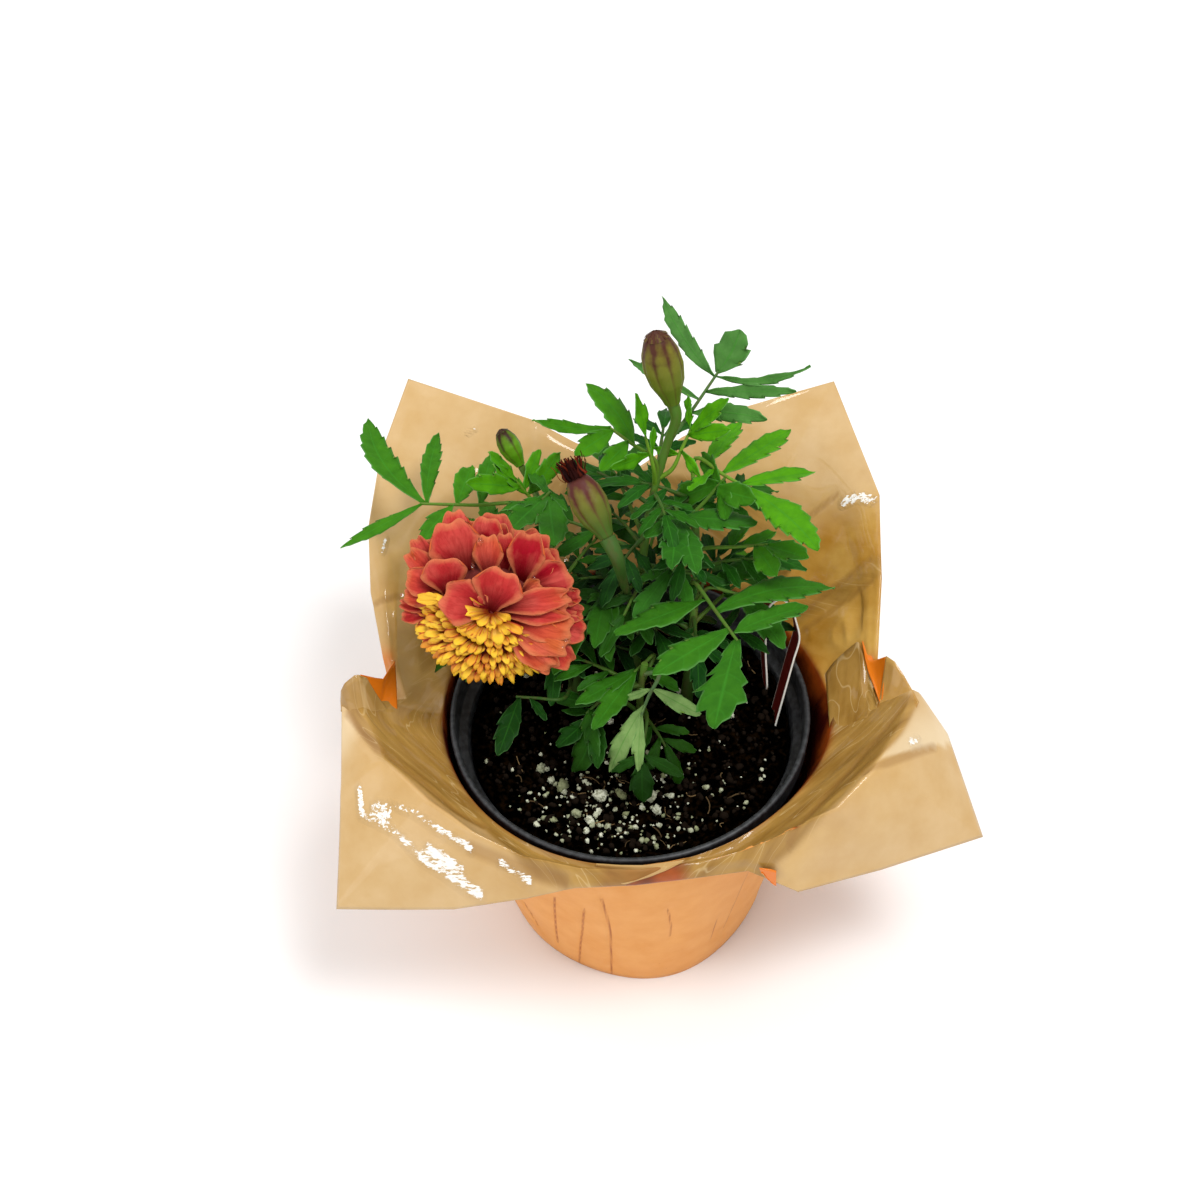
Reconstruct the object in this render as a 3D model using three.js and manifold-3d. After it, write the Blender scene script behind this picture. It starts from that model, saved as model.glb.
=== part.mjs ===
// A potted French marigold: a bushy plant with one open bloom and three buds, in a nursery
// pot of soil, dressed in a pleated square of glossy paper.
// Millimetres, +Z up, origin at the centre of the paper's flat base, front towards -Y.

import * as THREE from 'three';
import { mergeVertices } from 'three/addons/utils/BufferGeometryUtils.js';
import Module from 'manifold-3d';

const wasm = await Module();
wasm.setup();

// Clearances and thicknesses
const GAP = 0.3;
const PAPER_THICKNESS = 0.8;
const BLADE_THICKNESS = 0.7;
const PETAL_THICKNESS = 0.8;

// Nursery pot
const POT_SIDES = 32;
const POT_WALL = 1.2;
const POT_FLOOR = PAPER_THICKNESS + GAP;
const POT_TOP = 86;
const POT_BASE_RADIUS = 40.6;
const POT_NECK_RADIUS = 51.4;
const POT_RIM_RADIUS = 55;
const POT_RIM_BAND = 9;
const DRAIN_HOLES = 6;
const DRAIN_RADIUS = 4;
const DRAIN_CIRCLE = 27;

// Soil
const SOIL_LEVEL = 76;
const SOIL_RADIUS = 49.2;
const SOIL_RINGS = [9, 22, 34, 44];
const ROOT_DEPTH = 28;
const STEM_RADIUS = 2;
const SLIM_STEM_RADIUS = 1.1;
const STEM_SLIMS = { from: 0.3, to: 0.7 };
const BUD_SWELL = 8;
const STEM_SIDES = 6;
const STEM_HOLE_GAP = 0.6;

// Paper cover
const COVER_BASE_RADIUS = 43.1;
const BASE_BULGE = { azimuth: -78, spread: 26, width: 2.4 };
const COVER_CUP_RADIUS = 56;
const COVER_CUP_HEIGHT = 76;
const COVER_LIP_RADIUS = 56.8;
const COVER_LIP_HEIGHT = 87;
const COVER_STEP = 12;
const RIGHT_GAP = { azimuth: -8, spread: 28, width: 4.5 };

// The paper's folds, front first and then counter-clockwise. Each row holds the azimuth at
// the pot's lip, then azimuth, radius and height of the crease and of the paper's cut edge.
const COVER_FOLDS = [
  [-90, [-90, 59, 88], [-90, 61.5, 84]],
  [-73, [-73, 59.5, 88], [-73, 62.5, 84]],
  [-62, [-61, 61, 87], [-60, 64.5, 80]],
  [-55, [-55, 64, 90], [-51, 74.5, 71]],
  [-40, [-39, 74, 97], [-34, 87.5, 67]],
  [-26, [-26, 78, 100], [-20, 111, 66]],
  [-14, [-14, 82, 100], [-9, 96, 87]],
  [-5, [-5, 84, 99], [-5, 87, 97]],
  [1, [1, 71, 91], [1, 75, 86]],
  [8, [8, 73, 96], [6, 76.5, 96]],
  [20, [20, 78, 104], [20, 84, 109]],
  [34, [36, 86, 110], [34, 97, 120]],
  [52, [54, 90, 112], [54.5, 122, 128]],
  [68, [69, 86, 111], [67, 100, 124]],
  [78, [78, 82, 109], [77, 91, 116]],
  [86, [86, 80, 107], [86, 83, 109]],
  [96, [97, 82, 109], [99, 90, 115]],
  [108, [108, 86, 111], [107, 96, 123]],
  [122, [122, 92, 113], [122.5, 129, 128]],
  [138, [138, 88, 111], [134, 112, 120]],
  [148, [148, 84, 106], [146, 97, 114]],
  [157, [157, 78, 102], [156, 87, 104]],
  [168, [168, 73, 95], [168, 77, 95]],
  [177, [177, 68, 90], [177, 72, 86]],
  [184, [183, 80, 98], [182, 86, 98]],
  [198, [200, 76, 100], [199, 91, 90]],
  [212, [215, 71, 99], [212, 104, 66]],
  [226, [227, 67, 95], [228, 79, 70]],
  [240, [240, 63, 90], [242, 68, 76]],
  [255, [255, 60, 88], [254, 63, 82]],
];

// Plant label: a strip from its foot in the soil, up, over and down to its free end
const LABEL = {
  path: [[40.5, -3.4, 55.6], [42, -1.2, 62], [45.2, 3.4, 76], [49.9, 10.2, 96.3],
    [51.6, 12.7, 103.7], [50.6, 14.2, 109], [48.6, 15.8, 115], [45.8, 16.3, 117.7],
    [42.4, 16.4, 114.5], [41.5, 13.2, 102.2], [42.4, 7.9, 84.5]],
  across: [-0.123, 0.949, -0.291],
  width: 7,
  footWidth: 2,
  endWidth: 4,
  thickness: 0.8,
};

// Open bloom: its base on the calyx, the way it faces, and its layers of petals. Angles are
// in the plane of the flower, from its right-hand side as seen from the front.
const BLOOM = { base: [-38.2, 5.6, 131.8], facing: [0.03, -0.7, 0.71] };
const BLOOM_CORE = { radius: 15, height: 12, sides: 14 };
const PETAL_LAYERS = [
  { from: -40, to: 166, count: 8, rise: 10, length: 25.5, width: 14, root: 1.5 },
  { from: -22, to: 150, count: 5, rise: 36, length: 21, width: 15, root: 4.5 },
  { from: 15, to: 130, count: 3, rise: 60, length: 16.5, width: 13, root: 8 },
];
const FLORET_SECTOR = { from: 176, to: 308 };
const FLORET_RINGS = [
  { tilt: 28, count: 3, length: 7 },
  { tilt: 46, count: 5, length: 8 },
  { tilt: 62, count: 7, length: 9 },
  { tilt: 76, count: 8, length: 11 },
  { tilt: 90, count: 9, length: 12 },
];
const FLORET_WIDTH = 2.9;
const FLORET_ROOT = 0.82;

// Calyxes and buds
const CALYX_LENGTH = 16;
const BUD_NECK = 5;
const TALL_BUD = { base: [15.7, 47.5, 167.5], tip: [11, 51, 190.5], radius: 5.7 };
const FADED_BUD = { base: [-4.6, 12.4, 149], tip: [-13, 23.5, 163.5], radius: 5.1 };
const SMALL_BUD = { base: [-31, 62.5, 130.5], tip: [-36.8, 68.8, 140], radius: 3.5 };

// Leaves. A leaf starts at base, or at a petiole's length from its stem, and its rib runs
// along azimuth and rise, bending down by curl degrees. Leaflets are given as distance along
// the rib, angle from the rib, length and, where it matters, width and sideways bow, or as
// pairs of a size.
const LEAFLET_SLENDERNESS = 3.1;
const RIB_RADIUS = 0.65;

const STEMS = [
  {
    name: 'leafy_stem_left',
    hole: [-16, 8],
    path: [[-17, 12, 92], [-19, 22, 106], [-22, 36, 119], [-25, 49, 125]],
    bud: SMALL_BUD,
    tipRadius: 1.1,
    leaves: [
      { height: 120, base: [-27, 45.4, 129.4], azimuth: -170, rise: 15, length: 34,
        leaflets: [[33.8, -73, 41, 10, 4.5], [32.9, -104, 34.1, 6.1, 1.1], [23.7, -111, 19.2, 7.3],
          [16.6, -106, 25.5, 6.1], [34, 36, 31.5, 4.6], [24.9, 52, 19.5, 6.3]] },
      { height: 124, base: [-21.4, 44.3, 136.3], azimuth: -120, rise: 15, length: 13,
        leaflets: [[1.7, 1, 23.8, 9], [1.7, 36, 26, 10], [0.5, 61, 10], [1.1, -127, 14.3],
          [4.3, -28, 14.5]] },
      { height: 120, base: [-27, 47, 130], azimuth: 155, rise: 53, length: 10,
        leaflets: [[2.6, 8, 15], [6, 44, 21], [4.7, -78, 16], [2.8, -96, 22], [7.9, 2, 13]] },
      { height: 90, base: [-20, -12, 107], azimuth: 177, rise: 5, length: 12,
        leaflets: [[12, 78, 21], [9, 125, 9]] },
      { height: 116, azimuth: 150, rise: 20, petiole: 6, length: 20, curl: 25, pairs: 2, size: 20 },
      { height: 104, azimuth: 190, rise: 14, petiole: 6, length: 20, curl: 30, pairs: 2, size: 19 },
      { height: 92, azimuth: 145, rise: 22, petiole: 5, length: 15, curl: 25, pairs: 2, size: 14 },
      { height: 112, azimuth: 50, rise: 25, petiole: 5, length: 14, curl: 20, pairs: 2, size: 14 },
    ],
    blooms: [{ from: 96, bend: [-33, 22, 106] }],
  },
  {
    name: 'leafy_stem_centre',
    hole: [2, 14],
    path: [[2.5, 17, 92], [4, 24, 108], [6.5, 33, 124], [9.5, 40, 138], [14, 45.5, 153]],
    bud: TALL_BUD,
    tipRadius: 1.8,
    leaves: [
      { height: 141, base: [14.4, 45.7, 152.7], azimuth: 35, rise: 45, length: 25,
        leaflets: [[16.1, 98, 30.9, 3.5], [23.9, 76, 34.3, 5.6, 1.2], [25, 11, 13.9, 13, -1.3],
          [24.2, -53, 30.5, 2.7, -2.9], [18.6, -57, 29.9, 4.4], [11.5, -61, 25.6, 5.8, 0.8]] },
      { height: 138, base: [10.6, 42.8, 148.9], azimuth: 164, rise: 38, length: 18,
        leaflets: [[16.8, 34, 27, 4.4, 1.5], [8, -25, 22.8, 12, -2.5], [16, 65, 18.6, 6.9],
          [10.2, 73, 16.7, 6.4]] },
      { height: 140, base: [10, 40, 148], azimuth: 140, rise: 76, length: 14,
        leaflets: [[11, -3, 15], [6, 72, 16], [4, -26, 9]] },
      { height: 142, base: [15, 42, 146], azimuth: 30, rise: 62, length: 14,
        leaflets: [[14, 45, 10], [13, -24, 18], [12, -49, 17], [7, -98, 11], [5.5, 118, 11]] },
      { height: 112, base: [5, 26, 118], azimuth: -145, rise: 9, length: 13,
        leaflets: [[13, 10, 8], [13, 45, 24], [13, 63, 15], [10, -101, 10]] },
      { height: 117, base: [7, 24, 121], azimuth: -114, rise: 12, length: 18, curl: 20,
        leaflets: [[18, -7, 15], [11, -48, 12], [13, 44, 16]] },
      { height: 124, azimuth: 110, rise: 25, petiole: 6, length: 22, curl: 25, pairs: 2, size: 22 },
      { height: 110, azimuth: 75, rise: 20, petiole: 6, length: 20, curl: 25, pairs: 2, size: 20 },
      { height: 100, azimuth: 125, rise: 15, petiole: 6, length: 18, curl: 30, pairs: 2, size: 17 },
      { height: 113, azimuth: 232, rise: 22, petiole: 6, length: 18, curl: 20, pairs: 2, size: 18 },
      { height: 120, azimuth: 165, rise: 30, petiole: 8, length: 20, curl: 20, pairs: 2, size: 18 },
    ],
    peduncles: [{ from: 104, bend: [0, 15, 125], bud: FADED_BUD }],
  },
  {
    name: 'leafy_stem_right',
    hole: [18, 8],
    path: [[19, 11, 92], [20.5, 18, 106], [22, 30, 122], [22, 42, 136]],
    tipRadius: 1,
    leaves: [
      { height: 134, base: [22.4, 48.3, 144.3], azimuth: -51, rise: 10, length: 28,
        leaflets: [[4.9, 111, 24.2, 7], [12.1, 92, 29, 8.7, -0.4], [20.2, 58, 21.5, 8.2],
          [22.6, -9, 34.6, 10.7, 1.4], [8.7, -85, 11.2]] },
      { height: 112, base: [20.3, 14.3, 127.2], azimuth: -71, rise: 14, length: 32,
        leaflets: [[17.2, 84, 35, 13, 4.5], [29.2, 97, 24.3, 9.5, 0.9], [10.2, -86, 28.8, 11],
          [26.9, -73, 27, 11.5], [32.1, -33, 36.3, 15]] },
      { height: 122, base: [15.9, 34.9, 137.8], azimuth: -83, rise: 16, length: 12,
        leaflets: [[5.3, -50, 14.5, 7], [5.9, -14, 27.8, 8.5], [7.5, -1, 29.5, 8],
          [6.2, 69, 22.7, 13], [0.5, 156, 17]] },
      { height: 128, base: [20, 33, 134], azimuth: 19, rise: 50, length: 16,
        leaflets: [[15, 147, 21, 9], [16, -118, 12, 7], [12.3, -57, 17, 8], [15, 93, 14, 6]] },
      { height: 120, base: [23, 28, 126], azimuth: -19, rise: 22, length: 21,
        leaflets: [[13, 29, 11, 6], [21, -24, 16, 8], [18, -53, 16, 8], [10, 84, 12, 7]] },
      { height: 114, base: [22, 16, 128], azimuth: 163, rise: 0, length: 10,
        leaflets: [[9.7, 42, 11], [8.3, 73, 21], [6, 115, 15]] },
      { height: 108, base: [25, 18, 120], azimuth: -25, rise: 12, length: 16, curl: 15,
        leaflets: [[0, 48, 29.6, 10.8, 1.3], [10.1, -33, 22.2, 9.4]] },
      { height: 104, azimuth: 40, rise: 20, petiole: 6, length: 19, curl: 25, pairs: 2, size: 19 },
    ],
  },
  {
    name: 'leafy_stem_front',
    hole: [3, -7],
    path: [[3, -7.5, 90], [3.5, -6, 102], [5, -4, 112]],
    tipRadius: 1,
    leaves: [
      { height: 108, base: [9, -8, 112], azimuth: -118, rise: -12, length: 17, curl: 30,
        leaflets: [[9.7, -9, 21.9], [12.9, 25, 16.5], [5, 82, 16], [5, -47, 8.2]] },
      { height: 98, base: [5, -16, 102], azimuth: -100, rise: -15, length: 12, curl: 25,
        leaflets: [[12.6, 5, 13.2, 7.5], [11.2, -54, 10.1], [11.2, 68, 12.6]] },
      { height: 104, base: [-5, -9, 106], azimuth: -150, rise: -18, length: 12, curl: 20,
        leaflets: [[9, 26, 18.6, 11, 4], [6, -55, 16], [8, 55, 16]] },
      { height: 93, base: [-3, -8, 100], azimuth: -149, rise: -6, length: 11,
        leaflets: [[11, 12, 12, 6.8], [7, -43, 11], [8, 59, 18], [4, -68, 10]] },
      { height: 104, base: [8, 2, 109], azimuth: -134, rise: 0, length: 8,
        leaflets: [[8, -14, 21], [8, 12, 24], [5.4, 90, 14]] },
      { height: 94, azimuth: -60, rise: 5, petiole: 4, length: 10, curl: 30, pairs: 2, size: 12 },
      { height: 103, azimuth: 160, rise: 26, petiole: 5, length: 13, curl: 15, pairs: 2, size: 13 },
    ],
  },
];

const COLOURS = {
  paper: 0xd9bd8c,
  pot: 0x26272a,
  soil: 0x241a12,
  label: 0x5c1a1c,
  leaf: 0x3f8a35,
  petal: 0xc9483f,
  floret: 0xe6b432,
  bud: 0x7f8a3a,
  fadedPetal: 0x4a1712,
};

const radians = THREE.MathUtils.degToRad;
const vector = (coordinates) => new THREE.Vector3(...coordinates);
const polar = (azimuth, radius, height) => new THREE.Vector3(
  radius * Math.cos(radians(azimuth)), radius * Math.sin(radians(azimuth)), height);

// Solids

function signedVolume(positions, triangles) {
  let volume = 0;
  const corners = [new THREE.Vector3(), new THREE.Vector3(), new THREE.Vector3()];
  for (let i = 0; i < triangles.length; i += 3) {
    corners.forEach((corner, k) => corner.fromArray(positions, 3 * triangles[i + k]));
    volume += corners[0].dot(corners[1].cross(corners[2])) / 6;
  }
  return volume;
}

// A closed mesh of points and triangles, turned so that its faces point out.
function solidOf(points, triangles) {
  const positions = points.flatMap((point) => point.toArray());
  if (signedVolume(positions, triangles) < 0) {
    for (let i = 0; i < triangles.length; i += 3) {
      [triangles[i + 1], triangles[i + 2]] = [triangles[i + 2], triangles[i + 1]];
    }
  }
  return new wasm.Manifold(new wasm.Mesh({
    numProp: 3,
    vertProperties: Float32Array.from(positions),
    triVerts: Uint32Array.from(triangles),
  }));
}

function solidOfGeometry(geometry) {
  const bare = geometry.clone();
  bare.deleteAttribute('normal');
  bare.deleteAttribute('uv');
  const merged = mergeVertices(bare, 1e-4);
  return new wasm.Manifold(new wasm.Mesh({
    numProp: 3,
    vertProperties: Float32Array.from(merged.attributes.position.array),
    triVerts: Uint32Array.from(merged.index.array),
  }));
}

// A closed skin over a row of rings with as many points each, with a fan on both ends.
function loft(rings) {
  const sides = rings[0].length;
  const points = rings.flat();
  const triangles = [];
  for (let i = 0; i + 1 < rings.length; i += 1) {
    for (let j = 0; j < sides; j += 1) {
      const a = i * sides + j;
      const b = i * sides + (j + 1) % sides;
      triangles.push(a, b, b + sides, a, b + sides, a + sides);
    }
  }
  const fan = (ring, start, flipped) => {
    const middle = new THREE.Vector3();
    ring.forEach((point) => middle.addScaledVector(point, 1 / sides));
    points.push(middle);
    const centre = points.length - 1;
    for (let j = 0; j < sides; j += 1) {
      const a = start + j;
      const b = start + (j + 1) % sides;
      triangles.push(centre, ...(flipped ? [b, a] : [a, b]));
    }
  };
  fan(rings[0], 0, true);
  fan(rings.at(-1), (rings.length - 1) * sides, false);
  return solidOf(points, triangles);
}

// A thin plate over a grid of points with normals, split alike on both faces.
function plate(rows, thickness) {
  const width = rows[0].length;
  const side = (sign) => rows.flat().map(({ point, normal }) => (
    point.clone().addScaledVector(normal, sign * thickness / 2)));
  const points = [...side(1), ...side(-1)];
  const back = rows.length * width;
  const triangles = [];
  for (let i = 0; i + 1 < rows.length; i += 1) {
    for (let j = 0; j + 1 < width; j += 1) {
      const a = i * width + j;
      const b = a + 1;
      const c = a + width;
      const d = c + 1;
      triangles.push(a, c, d, a, d, b);
      triangles.push(back + a, back + d, back + c, back + a, back + b, back + d);
    }
  }
  const rim = [];
  for (let j = 0; j < width - 1; j += 1) rim.push(j);
  for (let i = 0; i < rows.length - 1; i += 1) rim.push(i * width + width - 1);
  for (let j = width - 1; j > 0; j -= 1) rim.push((rows.length - 1) * width + j);
  for (let i = rows.length - 1; i > 0; i -= 1) rim.push(i * width);
  rim.forEach((a, k) => {
    const b = rim[(k + 1) % rim.length];
    triangles.push(a, b, back + b, a, back + b, back + a);
  });
  return solidOf(points, triangles);
}

// A thin plate over a flat outline whose corners are lifted to points with normals.
function outlinePlate(outline, corners, thickness) {
  const count = corners.length;
  const side = (sign) => corners.map(({ point, normal }) => (
    point.clone().addScaledVector(normal, sign * thickness / 2)));
  const triangles = THREE.ShapeUtils.triangulateShape(outline, []).flatMap(([a, b, c]) => (
    [a, b, c, count + a, count + c, count + b]));
  for (let a = 0; a < count; a += 1) {
    const b = (a + 1) % count;
    triangles.push(b, a, count + a, b, count + a, count + b);
  }
  return solidOf([...side(1), ...side(-1)], triangles);
}

// A closed tube along a curve, its radius given by the share of the length travelled.
function tube(curve, steps, sides, radiusAt) {
  const frames = curve.computeFrenetFrames(steps, false);
  const rings = [];
  for (let i = 0; i <= steps; i += 1) {
    const middle = curve.getPointAt(i / steps);
    const radius = radiusAt(i / steps);
    rings.push(Array.from({ length: sides }, (_, j) => {
      const turn = 2 * Math.PI * j / sides;
      return middle.clone()
        .addScaledVector(frames.normals[i], radius * Math.cos(turn))
        .addScaledVector(frames.binormals[i], radius * Math.sin(turn));
    }));
  }
  return loft(rings);
}

function fuse(solids) {
  return solids.reduce((whole, solid) => whole.add(solid));
}

function meshOf(name, solid, colour, roughness) {
  const { vertProperties, triVerts } = solid.getMesh();
  const geometry = new THREE.BufferGeometry();
  geometry.setAttribute('position', new THREE.BufferAttribute(new Float32Array(vertProperties), 3));
  geometry.setIndex(new THREE.BufferAttribute(new Uint32Array(triVerts), 1));
  geometry.computeVertexNormals();
  const material = new THREE.MeshStandardMaterial({ color: colour, roughness, metalness: 0 });
  const mesh = new THREE.Mesh(geometry, material);
  mesh.name = name;
  return mesh;
}

// Right-handed axes with one of them along a given direction.
function axesAlong(direction) {
  const ahead = vector(direction).normalize();
  const right = new THREE.Vector3(0, 0, 1).cross(ahead).normalize();
  const up = ahead.clone().cross(right);
  return { right, up, ahead };
}

// Paper cover

function coverColumns() {
  const columns = [];
  COVER_FOLDS.forEach((fold, i) => {
    const [lip, crease, edge] = fold;
    const next = COVER_FOLDS[(i + 1) % COVER_FOLDS.length];
    const nextLip = next[0] + (next[0] < lip ? 360 : 0);
    const parts = Math.ceil((nextLip - lip) / COVER_STEP);
    for (let k = 0; k < parts; k += 1) {
      const share = k / parts;
      columns.push({
        azimuth: lip + share * (nextLip - lip),
        crease: polar(...crease).lerp(polar(...next[1]), share),
        edge: polar(...edge).lerp(polar(...next[2]), share),
      });
    }
  });
  return columns;
}

// How far a soft swelling of the cup stands out at an azimuth.
function swelling(azimuth, { azimuth: middle, spread, width }) {
  const away = (azimuth - middle) / spread;
  return width * Math.exp(-away * away);
}

// The paper's middle surface, a row of points for each level from the base to the edge.
function coverRows() {
  const columns = coverColumns();
  const between = (low, high, share, lift) => low.clone().lerp(high, share)
    .add(new THREE.Vector3(0, 0, lift));
  const base = columns.map(({ azimuth }) => (
    polar(azimuth, COVER_BASE_RADIUS + swelling(azimuth, BASE_BULGE), PAPER_THICKNESS / 2)));
  const top = columns.map(({ azimuth }) => polar(azimuth, COVER_CUP_RADIUS, COVER_CUP_HEIGHT));
  const lip = columns.map(({ azimuth }) => (
    polar(azimuth, COVER_LIP_RADIUS + swelling(azimuth, RIGHT_GAP), COVER_LIP_HEIGHT)));
  return [
    base,
    base.map((point, j) => between(point, top[j], 0.5, 0)),
    top,
    lip,
    columns.map(({ crease }, j) => between(lip[j], crease, 0.5, -1.5)),
    columns.map(({ crease }) => crease),
    columns.map(({ crease, edge }) => between(crease, edge, 0.5, 1)),
    columns.map(({ edge }) => edge),
  ];
}

function rowNormals(rows) {
  const last = rows.length - 1;
  return rows.map((row, i) => row.map((point, j) => {
    const count = row.length;
    const along = rows[Math.min(i + 1, last)][j].clone().sub(rows[Math.max(i - 1, 0)][j]);
    const around = row[(j + 1) % count].clone().sub(row[(j + count - 1) % count]);
    return around.cross(along).normalize();
  }));
}

function makeCover() {
  const rows = coverRows();
  const normals = rowNormals(rows);
  const face = (sign) => rows.map((row, i) => row.map((point, j) => {
    const moved = point.clone().addScaledVector(normals[i][j], sign * PAPER_THICKNESS / 2);
    if (i === 0) {
      moved.copy(point);
      moved.z = sign > 0 ? 0 : PAPER_THICKNESS;
    }
    return moved;
  }));
  return loft([...face(1), ...face(-1).reverse()]);
}

// Nursery pot

function makePot() {
  const rimFoot = POT_TOP - POT_RIM_BAND;
  const outline = [
    [0, POT_FLOOR],
    [POT_BASE_RADIUS, POT_FLOOR],
    [POT_NECK_RADIUS, rimFoot - 0.6],
    [POT_RIM_RADIUS - 0.4, rimFoot],
    [POT_RIM_RADIUS, POT_TOP - 0.6],
    [POT_RIM_RADIUS - 0.6, POT_TOP],
    [POT_RIM_RADIUS - POT_WALL, POT_TOP - 0.4],
    [POT_RIM_RADIUS - POT_WALL - 0.6, rimFoot + POT_WALL],
    [POT_NECK_RADIUS - POT_WALL, rimFoot + 0.4],
    [POT_BASE_RADIUS - POT_WALL, POT_FLOOR + POT_WALL],
    [0, POT_FLOOR + POT_WALL],
  ];
  const profile = outline.map(([radius, height]) => new THREE.Vector2(radius, height));
  const shell = new THREE.LatheGeometry(profile, POT_SIDES);
  shell.rotateX(Math.PI / 2);
  const drains = Array.from({ length: DRAIN_HOLES }, (_, i) => {
    const drain = new THREE.CylinderGeometry(DRAIN_RADIUS, DRAIN_RADIUS, 4 * POT_WALL, 10);
    drain.rotateX(Math.PI / 2);
    const place = polar(360 * i / DRAIN_HOLES, DRAIN_CIRCLE, POT_FLOOR + POT_WALL / 2);
    drain.translate(place.x, place.y, place.z);
    return solidOfGeometry(drain);
  });
  return drains.reduce((pot, drain) => pot.subtract(drain), solidOfGeometry(shell));
}

// Soil

function soilHeight(x, y) {
  return SOIL_LEVEL + 0.9 * Math.sin(0.21 * x + 1.3) * Math.cos(0.17 * y)
    + 0.6 * Math.sin(0.47 * x - 0.39 * y) + 0.4 * Math.cos(0.83 * y + 0.5 * x);
}

function stemHole([x, y]) {
  const radius = STEM_RADIUS + STEM_HOLE_GAP;
  const depth = ROOT_DEPTH + GAP;
  const hole = new THREE.CylinderGeometry(radius, radius, depth + 10, STEM_SIDES);
  hole.rotateX(Math.PI / 2);
  hole.translate(x, y, SOIL_LEVEL + 10 - (depth + 10) / 2);
  return solidOfGeometry(hole);
}

function makeSoil() {
  const floor = POT_FLOOR + POT_WALL + GAP;
  const wallSlope = (POT_NECK_RADIUS - POT_BASE_RADIUS) / (POT_TOP - POT_RIM_BAND - POT_FLOOR);
  const wallRadius = (height) => POT_BASE_RADIUS - POT_WALL - 2 * GAP
    + wallSlope * (height - POT_FLOOR);
  const ring = (radius, heightAt) => Array.from({ length: POT_SIDES }, (_, j) => {
    const point = polar(360 * j / POT_SIDES, radius, 0);
    point.z = heightAt(point);
    return point;
  });
  const level = (height) => () => height;
  const surface = (point) => soilHeight(point.x, point.y);
  const soil = loft([
    ring(wallRadius(floor), level(floor)),
    ring(SOIL_RADIUS, level(SOIL_LEVEL - 2.2)),
    ...SOIL_RINGS.toReversed().map((radius) => ring(radius, surface)),
  ]);
  const holes = STEMS.map(({ hole }) => stemHole(hole));
  const slot = makeLabel(GAP);
  return [...holes, slot].reduce((rest, hole) => rest.subtract(hole), soil);
}

// Plant label, grown by a margin where it cuts its slot.
function makeLabel(margin = 0) {
  const path = LABEL.path.map(vector);
  const last = path.length - 1;
  const across = vector(LABEL.across).normalize();
  const rows = path.map((place, i) => {
    const ahead = path[Math.min(i + 1, last)].clone().sub(path[Math.max(i - 1, 0)]).normalize();
    const width = { 0: LABEL.footWidth, [last]: LABEL.endWidth }[i] ?? LABEL.width;
    const point = place.clone().addScaledVector(ahead, i === 0 ? -margin : 0);
    return [-1, 1].map((side) => ({
      point: point.clone().addScaledVector(across, side * (width / 2 + margin)),
      normal: across.clone().cross(ahead),
    }));
  });
  return plate(rows, LABEL.thickness + 2 * margin);
}

// Leaves

function leafFrame(leaf, along) {
  const azimuth = radians(leaf.azimuth);
  const bend = along > 0 ? radians(leaf.curl ?? 0) / leaf.length : 0;
  const start = radians(leaf.rise);
  const pitch = start - bend * along;
  const reach = bend ? (Math.sin(start) - Math.sin(pitch)) / bend : along * Math.cos(start);
  const climb = bend ? (Math.cos(pitch) - Math.cos(start)) / bend : along * Math.sin(start);
  const outward = new THREE.Vector3(Math.cos(azimuth), Math.sin(azimuth), 0);
  const point = vector(leaf.base).addScaledVector(outward, reach);
  point.z += climb;
  const ahead = outward.clone().multiplyScalar(Math.cos(pitch));
  ahead.z = Math.sin(pitch);
  const level = new THREE.Vector3(-Math.sin(azimuth), Math.cos(azimuth), 0);
  return { point, side: level, normal: ahead.clone().cross(level) };
}

// A point of a leaf's curved sheet, along its rib and to its side, lowered by a drop.
function leafSpot(leaf, along, aside, drop) {
  const { point, side, normal } = leafFrame(leaf, along);
  point.addScaledVector(side, aside);
  point.addScaledVector(normal, -drop);
  return { point, normal };
}

// Share of the length and share of the half width along a leaflet's toothed edge.
const FINE_TEETH = [[0, 0.16], [0.28, 0.74], [0.47, 1], [0.53, 0.68], [0.74, 0.72], [1, 0.05]];
const PLAIN_TEETH = [[0, 0.16], [0.5, 1], [0.58, 0.66], [1, 0.05]];
const LONG_LEAFLET = 26;
const LEAFLET_ROOT = 0.35;
const STIFF_DROOP = 0.04;
const SOFT_DROOP = 0.16;

// Flat place of a leaflet's edge: distance along the leaf's rib, to its side, and its drop.
function edgeSpot(entry, [share, spread], edge, droop) {
  const [along, angle, length, width = length / LEAFLET_SLENDERNESS, bow = 0] = entry;
  const turn = radians(angle);
  const forward = LEAFLET_ROOT + share * length;
  const sideways = edge * spread * width / 2 + 4 * bow * share * (1 - share);
  return [
    along + forward * Math.cos(turn) - sideways * Math.sin(turn),
    forward * Math.sin(turn) + sideways * Math.cos(turn),
    droop * share * share * length,
  ];
}

function leaflet(leaf, entry) {
  const teeth = entry[2] > LONG_LEAFLET ? FINE_TEETH : PLAIN_TEETH;
  const rows = teeth.map((tooth) => [-1, 1].map((edge) => (
    leafSpot(leaf, ...edgeSpot(entry, tooth, edge, STIFF_DROOP)))));
  return plate(rows, BLADE_THICKNESS);
}

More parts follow.
